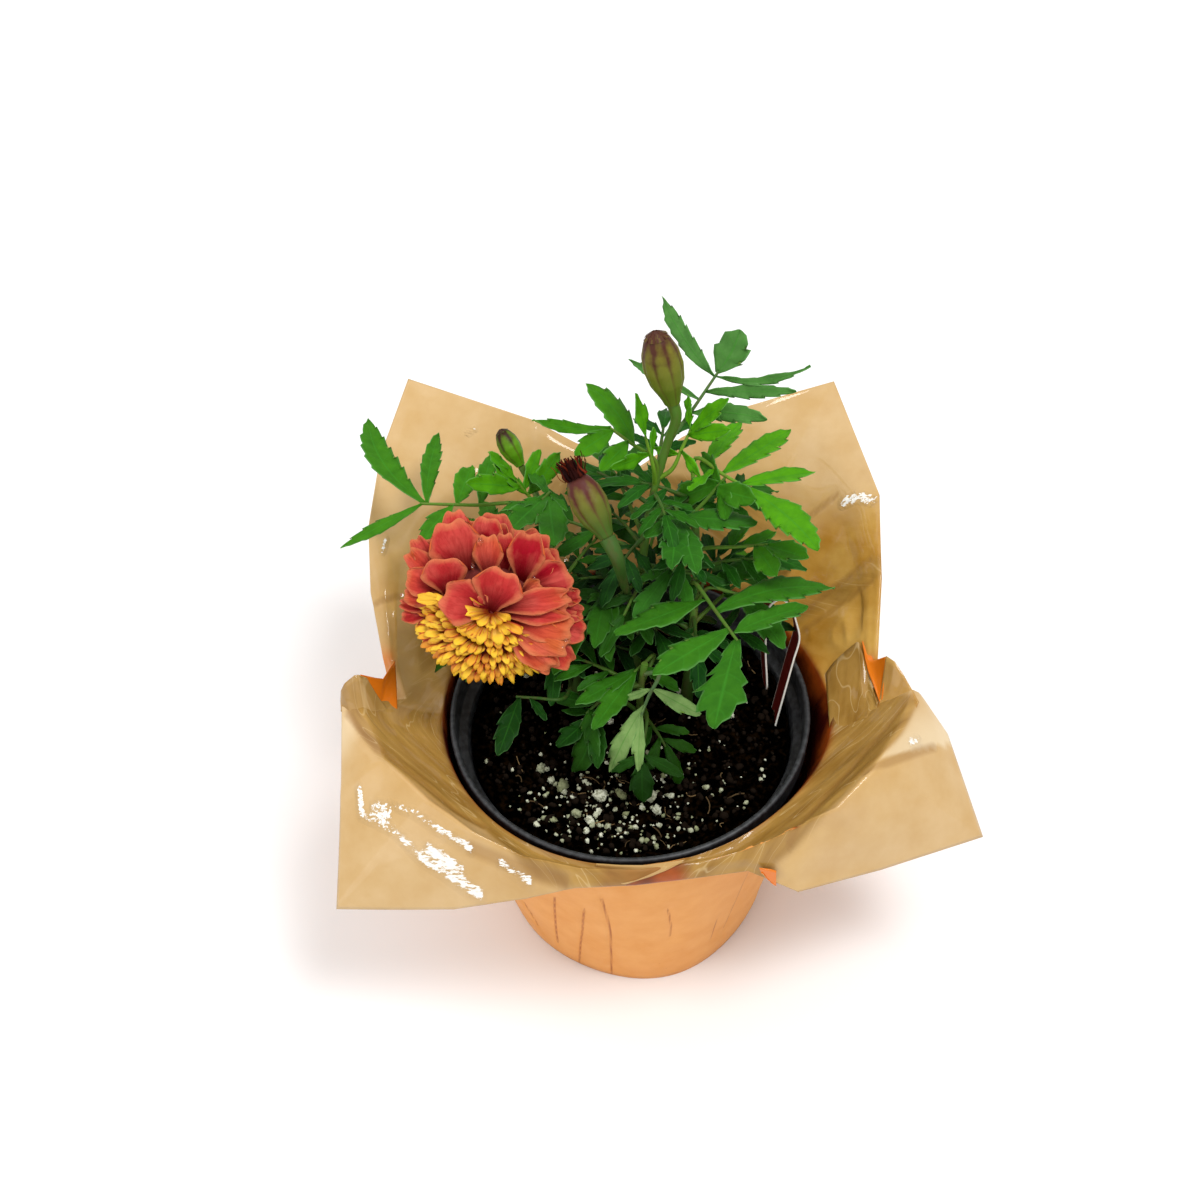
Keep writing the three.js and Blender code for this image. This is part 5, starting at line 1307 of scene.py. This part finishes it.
def leaflet_rise(s, v, half, aside, teeth, generator):
    """How far a leaflet's surface stands out: a wave, a fold along its rib and small puckers."""
    side, edge = np.abs(v), v * v
    height, waves = generator.uniform(0.25, 0.7), generator.uniform(1.2, 2.4)
    wave = height * np.sin(2 * np.pi * s * waves + generator.uniform(0, 6) + 1.6 * v)
    fold = generator.uniform(0.06, 0.24)
    puckers = 0.12 * np.sin(np.pi * side) * np.cos(2 * np.pi * (s * teeth - 0.5 * side))
    tilt = generator.uniform(-0.16, 0.16) * s * aside
    groove = 0.15 * np.exp(-(v * 6) ** 2)
    return half * (fold * side - 0.1 * edge) + wave * edge + puckers + tilt - groove


def add_leaflet(skin, leaf, entry, generator, tone, lobed):
    along, angle, length, width, bow = leaflet_sizes(*entry)
    teeth = 5 if lobed else max(3, round(length / 5))
    share = np.concatenate([(np.array(TOOTH_ROWS) + i) / teeth for i in range(teeth)] + [[1.0]])
    s, v = np.meshgrid(share, LEAFLET_COLUMNS, indexing="ij")
    half = width / 2 * np.interp(s, *(LOBED if lobed else LANCE))
    depth = LOBE_DEPTH if lobed else TOOTH_DEPTH
    forward, aside = leaflet_plan(s, v, half, length, teeth, depth)
    rise = leaflet_rise(s, v, half, aside, teeth, generator)
    droop = (SOFT_DROOP if "size" in leaf else STIFF_DROOP) * s * s * length
    aside = aside + 4 * bow * s * (1 - s) + generator.uniform(-0.02, 0.02) * length * s * s
    turn = math.radians(angle)
    u = along + forward * math.cos(turn) - aside * math.sin(turn)
    w = forward * math.sin(turn) + aside * math.cos(turn)
    points = leaf_sheet(leaf, u, w, droop - rise)
    blade = layers(v, s, s * teeth - 0.7 * np.abs(v))
    tint, grey = tone
    # Painted shade low down and deep in the plant, less on bright leaves.
    shade = shade_within(points) * min(1, max(0, 1.5 - 1.7 * tint))
    shade = np.maximum(shade, leaf.get("shade", 0))
    skin.grid(points, blade=blade, tone=layers(tint, grey, shade))


def paired_leaflets(leaf):
    """The leaflet at a leaf's tip and two pairs below it."""
    leaflets = [(leaf["length"], 0, 1.2 * leaf["size"])]
    for pair in (1, 2):
        share = pair / 2.4
        angle, size = 66 - 24 * share, leaf["size"] * (0.8 + 0.2 * share)
        leaflets.append((share * leaf["length"], angle, size))
        leaflets.append((share * leaf["length"] - 1, -angle, size))
    return leaflets


def bud_approach(bud):
    base, tip = np.array(bud["base"], float), np.array(bud["tip"], float)
    backwards = unit(base - tip)
    return [base + backwards * (BUD_NECK + 0.3), base + backwards * 0.3]


def stem_line(stem, count):
    x, y = stem["hole"]
    foot = [(x, y, height) for height in
            (SOIL_LEVEL - ROOT_DEPTH, SOIL_LEVEL - ROOT_DEPTH / 2, SOIL_LEVEL + 3)]
    approach = bud_approach(stem["bud"]) if "bud" in stem else []
    return smooth_line([*foot, *stem["path"], *approach], count)


def stem_point(line, height):
    above = np.nonzero(line[:, 2] >= height)[0]
    return line[above[0]] if len(above) else line[-1]


def placed_leaf(leaf, line, generator):
    start = stem_point(line, leaf["height"])
    placed = {"tint": generator.uniform(0.22, 0.45), "grey": generator.uniform(0, 0.25), **leaf,
              "start": start}
    if "base" not in leaf:
        rise = math.radians(leaf["rise"])
        away = polar(leaf["azimuth"], math.cos(rise), math.sin(rise))
        placed["base"] = start + away * leaf["petiole"]
        placed["leaflets"] = paired_leaflets(leaf)
    placed["base"] = np.array(placed["base"], float)
    return placed


def inner_leaf(number, generator):
    """A small dark leaf deep inside the plant."""
    return {"height": 98 + 4 * number, "azimuth": 137.5 * number + generator.uniform(-20, 20),
            "rise": generator.uniform(10, 35), "petiole": 4, "length": generator.uniform(11, 15),
            "curl": 20, "size": generator.uniform(11, 14),
            "tint": generator.uniform(0.05, 0.2)}


def add_leaf(blades, stalks, leaf, generator):
    rib_end = min(max(entry[0] for entry in leaf["leaflets"]), leaf["length"]) + 1
    rib = leaf_sheet(leaf, np.linspace(0, rib_end, 12), 0, 0.25)
    line = smooth_line([leaf["start"], *rib[[0, 6, 11]]], STALK_RINGS)
    add_tube(stalks, line, np.linspace(0.78, 0.42, STALK_RINGS), STALK_SIDES,
             tone=stalk_tone(leaf["tint"], leaf["grey"], line, STALK_SIDES))
    for index, entry in enumerate(leaf["leaflets"]):
        tone = (leaf["tint"] + generator.uniform(-0.06, 0.06), leaf["grey"])
        add_leaflet(blades, leaf, entry, generator, tone, index == leaf.get("lobed"))


def stalk_tone(tint, grey, line, sides):
    """Tint, grey and painted shade of a stalk; low in the plant the painted shade makes it nearly
    black.
    """
    dark = np.clip((112 - line[:, 2]) / 40, 0, 0.75)
    tone = layers(tint, grey, dark)
    return np.repeat(tone[:, None], sides, axis=1)


def shade_within(points):
    """Painted shade on leaves, low down and deep inside the plant."""
    low = np.clip((112 - points[..., 2]) / 30, 0, 0.7)
    away = np.hypot(points[..., 0] - 2, points[..., 1] - 24)
    inside = np.clip(1.3 - away / 30, 0, 1) * np.clip((137 - points[..., 2]) / 16, 0, 1)
    return np.maximum(low, 0.85 * inside)


def add_peduncle(stalks, line, peduncle):
    """The bare stalk that carries a bud away from its stem."""
    start = stem_point(line, peduncle["from"])
    points = [start, peduncle["bend"], *bud_approach(peduncle["bud"])]
    radii = 1.2 + 1.3 * np.linspace(0, 1, 40) ** 3
    # Tone is tint, grey and a little painted shade.
    add_tube(stalks, smooth_line(points, 40), radii, STEM_SIDES, tone=(0.2, 0.4, 0.25))


def make_stem(stem, index, materials):
    generator = np.random.default_rng(100 + index)
    blades, stalks = Skin("blade", "tone"), Skin("tone")
    line = stem_line(stem, STEM_RINGS)
    share = np.linspace(0, 1, STEM_RINGS)
    slimmer = np.clip((share - 0.3) / 0.4, 0, 1)
    radii = (STEM_RADIUS + (SLIM_STEM_RADIUS - STEM_RADIUS) * slimmer
             + (stem["tip_radius"] - SLIM_STEM_RADIUS) * share ** 8)
    radii = radii * (1 + 0.05 * np.sin(share * 40))
    add_tube(stalks, line, radii, STEM_SIDES, tone=stalk_tone(0.4, 0.3, line, STEM_SIDES))
    leaves = [dict(zip(LEAF, row)) for row in stem["leaves"]]
    leaves += [dict(zip(PAIRED, row)) for row in stem["paired"]]
    for leaf in leaves:
        add_leaf(blades, stalks, placed_leaf(leaf, line, generator), generator)
    for number in range(stem.get("inner", 0)):
        leaf = inner_leaf(number, generator)
        add_leaf(blades, stalks, placed_leaf(leaf, line, generator), generator)
    for bloom in stem.get("blooms", []):
        add_calyx(stalks, line, bloom)
    for peduncle in stem.get("peduncles", []):
        add_peduncle(stalks, line, peduncle)
    name = stem["name"]
    make_piece(name + "_leaves", blades, materials[:2], [name], 0.26)
    make_piece(name + "_stalks", stalks, materials[2:], [name])


# Open bloom

AHEAD = unit(BLOOM["facing"])
RIGHT = unit(np.cross(UP, AHEAD))
ABOVE = np.cross(AHEAD, RIGHT)


def bloom_point(x, y, height):
    x, y, height = np.broadcast_arrays(x, y, height)
    return (np.array(BLOOM["base"]) + x[..., None] * RIGHT + y[..., None] * ABOVE
            + height[..., None] * AHEAD)


def add_calyx(stalks, line, bloom):
    top = np.array(BLOOM["base"], float)
    foot = top - AHEAD * CALYX_LENGTH
    points = [stem_point(line, bloom["from"]), bloom["bend"], foot - AHEAD * 6, foot + AHEAD]
    share = np.linspace(0, 1, 40)
    add_tube(stalks, smooth_line(points, 40), 1.5 + 0.5 * share, STEM_SIDES, tone=(0.45, 0.5, 0))
    share = np.linspace(0, 1, 30)
    radii = 1.8 + 6.2 * np.sin(np.minimum(1, 1.25 * share) * np.pi / 2)
    grid = tube_grid(foot + share[:, None] * (top - foot), radii, 48)
    ribs = 1 + 0.035 * np.cos(np.arange(48) * 2 * np.pi / 6)
    middle = grid.mean(axis=1, keepdims=True)
    grid = middle + (grid - middle) * ribs[None, :, None]
    stalks.grid(grid[:, ::-1], closed=True, tone=(0.42, 0.35, 0))
    stalks.fan(top, grid[-1][::-1], tone=(0.42, 0.35, 0))


# How deep petals start inside the bloom, and their half width by share of their length.
PETAL_SUNK = 3.5
PETAL_WIDTHS = ([0, 0.15, 0.32, 0.5, 0.68, 0.82, 0.92, 1],
                [0.2, 0.36, 0.6, 0.84, 1.04, 1.12, 1.08, 0.94])


def petal_spine(root, tip, out):
    """Points from deep inside the bloom, over a petal's root and on to its tip."""
    inward = root - (tip - root) * (PETAL_SUNK / np.linalg.norm(tip - root))
    inward[2] = max(root[2] - PETAL_SUNK, -1)
    blend_in = np.clip(1 - out / 0.18, 0, 1)[..., None] ** 2
    sunk = inward + (root - inward) * (out / 0.18)[..., None]
    return (root + (tip - root) * out[..., None]) * (1 - blend_in) + sunk * blend_in


def petal_lift(s, v, out, length, width, waves, generator):
    """How far a petal stands out: its arch, cupped sides, rolled tip, ruffles and crinkles."""
    arch = 0.13 * length * np.sin(np.pi * np.clip(out, 0, 1)) * generator.uniform(0.3, 1)
    cup = 0.16 * width * v * v * (0.3 + 0.7 * out) * generator.uniform(0.4, 1.1)
    roll = 0.64 * width * np.clip(out - 0.72, 0, 1) ** 1.5 * generator.uniform(0.3, 1)
    ruffle = 0.85 * np.sin(v * generator.uniform(3.5, 6) + generator.uniform(0, 6))
    crinkle = 0.3 * np.sin(v * 9 + 2 * s + generator.uniform(0, 6))
    return arch + cup - roll + waves * out ** 2 * (ruffle + crinkle)


def add_petal(skin, root, tip, width, hue, waves, generator):
    root, tip = np.array(root, float), np.array(tip, float)
    length = np.linalg.norm(tip - root)
    s, v = blade_shares(19, 17)
    scallops = generator.uniform(3.6, 6.4)
    notch = 0.045 * np.cos(scallops * v + generator.uniform(-1, 1))
    out = np.maximum(s * (1.03 - 0.26 * v ** 4 - 0.06 * v * v - notch * s ** 3), 0)
    flat = unit([root[1] - tip[1], tip[0] - root[0], 0])
    half = width / 2 * np.interp(s, *PETAL_WIDTHS)
    local = petal_spine(root, tip, out) + flat * (half * v)[..., None]
    height = local[..., 2] + petal_lift(s, v, out, length, width, waves, generator)
    points = bloom_point(local[..., 0], local[..., 1], height)
    rim = (np.abs(v) ** 6 + s ** 10) ** 0.16
    soft = 0.5 + 0.5 * noise(generator.integers(1000), v * 1.6 + 9, s * 2.4)
    if hue >= 0:
        hue = np.clip(hue + generator.uniform(-0.12, 0.12) - 0.3 * s * s + 0.15, 0, 1)
    skin.grid(points, blade=layers(v, s, hue), tone=layers(rim, soft, 0))


def make_petals(materials):
    generator = np.random.default_rng(41)
    skin = Skin("blade", "tone")
    for petal in PETALS:
        add_petal(skin, *petal, generator)
    for angle in np.linspace(SKIRT["from"], SKIRT["to"], SKIRT["count"]):
        angle += generator.uniform(-4, 4)
        shorter = 2.4 * bell(angle, 58, 17)
        outer = SKIRT["outer"] + generator.uniform(-1.5, 0.8) - shorter
        root = polar(angle, SKIRT["inner"], 1.2)
        tip = polar(angle + generator.uniform(-5, 5), outer, generator.uniform(0.5, 3))
        add_petal(skin, root, tip, SKIRT["width"], generator.uniform(0.3, 0.9), 0.9, generator)
    make_piece("bloom_ray_petals", skin, materials, ["bloom_petals"], 0.2)


def add_floret(skin, angle, row, generator, hue):
    inner, low, outer, high, width = row
    turn = np.radians(angle)
    s, v = blade_shares(9, 5)
    outer += generator.uniform(-1.1, 1.1)
    high += generator.uniform(-0.9, 1.1)
    width *= generator.uniform(0.75, 1.2)
    out = inner + (outer - inner) * s * (1 - 0.16 * v * v)
    half = width / 2 * np.interp(s, [0, 0.4, 0.7, 0.88, 1], [0.35, 0.6, 0.95, 1, 0.8])
    aside = half * v + generator.uniform(-0.5, 0.5) * s
    lift = low + (high - low) * s + 1.3 * np.sin(np.pi * s) * generator.uniform(0.3, 1)
    lift += generator.uniform(0.15, 0.5) * width * v * v * np.clip(s * 1.6, 0, 1)
    lift -= generator.uniform(0, 1.4) * np.clip(s - 0.7, 0, 1) * 3
    lift += generator.uniform(-0.4, 0.4) * v * s
    x = out * np.cos(turn) - aside * np.sin(turn)
    y = out * np.sin(turn) + aside * np.cos(turn)
    skin.grid(bloom_point(x, y - 2.4 * (1 - s), lift), blade=layers(v, s, hue))


def make_florets(materials):
    generator = np.random.default_rng(43)
    skin = Skin("blade")
    low, high = FLORET_SECTOR["from"], FLORET_SECTOR["to"]
    for index, row in enumerate(FLORET_ROWS):
        count = round(math.radians(high - low) * row[2] / (row[4] * 0.86))
        for angle in np.linspace(low, high, count) + generator.uniform(-2.5, 2.5, count):
            redder = 0.05 * index + generator.uniform(-0.35, 0.65)
            add_floret(skin, angle, row, generator, float(np.clip(redder, 0, 1)))
    make_piece("bloom_small_florets", skin, materials, ["bloom_florets"],
               0.16)


def make_receptacle(material):
    levels = [(8, 0.2), (14, 0.4), (15.2, 1.6), (14.2, 3.2), (11.6, 5.2), (8.6, 6.8), (5.4, 8),
              (3, 8.8), (0.3, 9.2)]
    turns = np.radians(np.arange(0, 360, 7.5))
    grid = np.array([bloom_point(r * np.cos(turns), r * np.sin(turns) - 1.2, h + 0 * turns)
                     for r, h in levels])
    skin = Skin()
    skin.grid(grid[:, ::-1], closed=True)
    skin.fan(grid[0].mean(axis=0), grid[0])
    make_piece("bloom_receptacle", skin, [material], [])


def make_drops(material):
    skin = Skin()
    points, faces = icosphere(2)
    for place, radius in DROPS:
        middle = bloom_point(*(np.array(value, float) for value in place))
        skin.add(middle + radius * points, faces)
    make_piece("water_drops", skin, [material])


# Buds

# Name, shape, number and depth of the ribs, and length of the bract tips.
BUDS = [
    ("tall_bud", TALL_BUD, 8, 0.1, 2),
    ("faded_bud", FADED_BUD, 7, 0.12, 0),
    ("small_bud", SMALL_BUD, 6, 0.08, 1.2),
]
# Half width of a bud by share of its length.
BUD_PROFILE = ([0, 0.06, 0.12, 0.3, 0.52, 0.72, 0.88, 0.96, 1],
               [0.42, 0.48, 0.56, 0.86, 1.0, 0.94, 0.7, 0.48, 0.2])


def bud_axes(bud):
    base, tip = np.array(bud["base"], float), np.array(bud["tip"], float)
    ahead = unit(tip - base)
    right = unit(np.cross(UP, ahead))
    return base, tip, ahead, right, np.cross(ahead, right)


def add_bud(skin, bud, ribs, depth):
    base, tip, _, right, up = bud_axes(bud)
    share, turns = np.linspace(0, 1, 34), np.linspace(0, 2 * np.pi, 72, endpoint=False)
    s, turn = np.meshgrid(share, turns, indexing="ij")
    twist = turn + 0.12 * np.sin(3 * s)
    rib = np.abs(np.cos(ribs / 2 * twist)) ** 0.7
    ridge = depth * (rib - 0.6) * np.sin(np.pi * np.clip(s + 0.12, 0, 1))
    reach = bud["radius"] * np.interp(s, *BUD_PROFILE) * (1 + ridge)
    points = (base + s[..., None] * (tip - base) + (reach * np.cos(turn))[..., None] * right
              + (reach * np.sin(turn))[..., None] * up)
    skin.grid(points[:, ::-1], closed=True, blade=layers(rib, s, 0)[:, ::-1])
    skin.fan(tip, points[-1][::-1], blade=(0.5, 1, 0))
    skin.fan(base, points[0], blade=(0.5, 0, 0))


def away_from_axis(right, up, turn):
    """Unit vectors away from a bud's axis and round it."""
    return (math.cos(turn) * right + math.sin(turn) * up,
            -math.sin(turn) * right + math.cos(turn) * up)


def add_bud_tips(skin, bud, count, length):
    """Small pointed ends of the bracts that close over the bud's tip."""
    _, tip, ahead, right, up = bud_axes(bud)
    radius = bud["radius"]
    s, v = blade_shares(6, 5)
    for i in range(count):
        out, side = away_from_axis(right, up, 2 * np.pi * (i + 0.3) / count)
        reach = radius * (0.62 - 0.5 * s)
        half = radius * 1.5 / count * (1 - s) ** 0.7 + 0.02
        rise = length * (s - 0.8)
        points = (tip + reach[..., None] * out + (half * v)[..., None] * side
                  + rise[..., None] * ahead)
        skin.grid(points, blade=layers(1 - np.abs(v), 0.85 + 0.15 * s, 0))


def make_buds(materials):
    for (name, bud, ribs, depth, tips), material in zip(BUDS, materials):
        skin = Skin("blade")
        add_bud(skin, bud, ribs, depth)
        if tips:
            add_bud_tips(skin, bud, ribs, tips)
        make_piece(name + "_body", skin, [material], [name])


def make_faded_petals(material):
    _, tip, ahead, right, up = bud_axes(FADED_BUD)
    generator = np.random.default_rng(47)
    skin = Skin("tone")
    s, v = blade_shares(8, 3)
    count = 54
    for i in range(count):
        turn = 2.4 * i
        radius = 3.6 * math.sqrt((i + 0.5) / count)
        out, side = away_from_axis(right, up, turn)
        length = generator.uniform(3.2, 6.6)
        flare = generator.uniform(-0.15, 0.35)
        half = generator.uniform(0.3, 0.7) * (1 - 0.65 * s)
        curl = generator.uniform(-1, 1)
        reach = radius + flare * length * s + 0.4 * np.sin(6 * s + turn)
        points = (tip + reach[..., None] * out + (half * v + curl * s * s)[..., None] * side
                  + (length * s - 1.2)[..., None] * ahead)
        skin.grid(points, tone=(generator.random() ** 2, 0, 0))
    make_piece("faded_bud_dry_petals", skin, [material], ["faded_bud_petals"],
               0.18)


# Room

FLOOR_REACH = 3.0
LIT_POINT = (0, 0, 0.1)
WORLD_STRENGTH = 0.68
CAMERA_PLACE = (0, -0.3065, 0.4811)
CAMERA_AXES = [(0.9992, -0.0175, -0.0363), (0.0372, 0.7473, 0.6635), (0.0155, -0.6643, 0.7473)]
CAMERA_LENS = 48.84


def make_floor():
    mesh = bpy.data.meshes.new("floor")
    corners = [(x * FLOOR_REACH, y * FLOOR_REACH, 0) for x, y in ((-1, -1), (1, -1), (1, 1), (-1, 1))]
    mesh.from_pydata(corners, [], [(0, 1, 2, 3)])
    mesh.materials.append(pale_floor())
    floor = new_object("floor", mesh)


def placing(right, up, back, place):
    """The matrix of an object from its axes and its place."""
    axes = np.column_stack([right, up, back, place])
    return Matrix(np.vstack([axes, [0, 0, 0, 1]]).tolist())


def add_light(name, place, size, power):
    data = bpy.data.lights.new(name, "AREA")
    data.shape = "RECTANGLE"
    data.size = size
    data.size_y = size
    data.energy = power
    back = unit(np.array(place) - LIT_POINT)
    right = unit(np.cross(UP, back))
    light = new_object(name, data)
    light.matrix_world = placing(right, np.cross(back, right), back, place)


def make_room():
    world = bpy.data.worlds.new("studio")
    bpy.context.scene.world = world
    world.use_nodes = True
    background = world.node_tree.nodes["Background"]
    background.inputs["Color"].default_value = (1, 1, 1, 1)
    background.inputs["Strength"].default_value = WORLD_STRENGTH
    bpy.context.scene.view_settings.view_transform = "Standard"
    make_floor()
    add_light("key", (0.4, -0.25, 1.25), 0.4, 9)
    add_light("fill", (-0.6, 0.5, 1.1), 1.2, 4)
    add_light("side", (-0.9, -0.75, 0.6), 0.9, 3)


def make_camera():
    data = bpy.data.cameras.new("camera")
    data.sensor_width = 36
    data.lens = CAMERA_LENS
    data.clip_start = 0.01
    camera = new_object("camera", data)
    camera.matrix_world = placing(*CAMERA_AXES, CAMERA_PLACE)
    bpy.context.scene.camera = camera


make_camera()
make_room()
make_cover([paper_inside(), paper_outside()])
make_pot(pot_plastic())
make_soil(soil_mix())
make_perlite(perlite())
make_crumbs(soil_fibre())
make_label(label_face())
leaf_materials = [leaf_top(), leaf_under(), stem_skin()]
for stem_index, stem in enumerate(STEMS):
    make_stem(stem, stem_index, leaf_materials)
make_petals([petal_top(), petal_under()])
make_florets([floret_top(), floret_under()])
make_receptacle(receptacle())
make_drops(water())
make_buds([bud_skin("tall_bud_skin", (92, 112, 34), (114, 108, 36), (76, 42, 30), 0.5),
           bud_skin("faded_bud_skin", (66, 92, 30), (116, 108, 42), (84, 42, 36), 0.4),
           bud_skin("small_bud_skin", (80, 138, 20), (98, 140, 24), (54, 32, 14), 0.46)])
make_faded_petals(dried_petal())
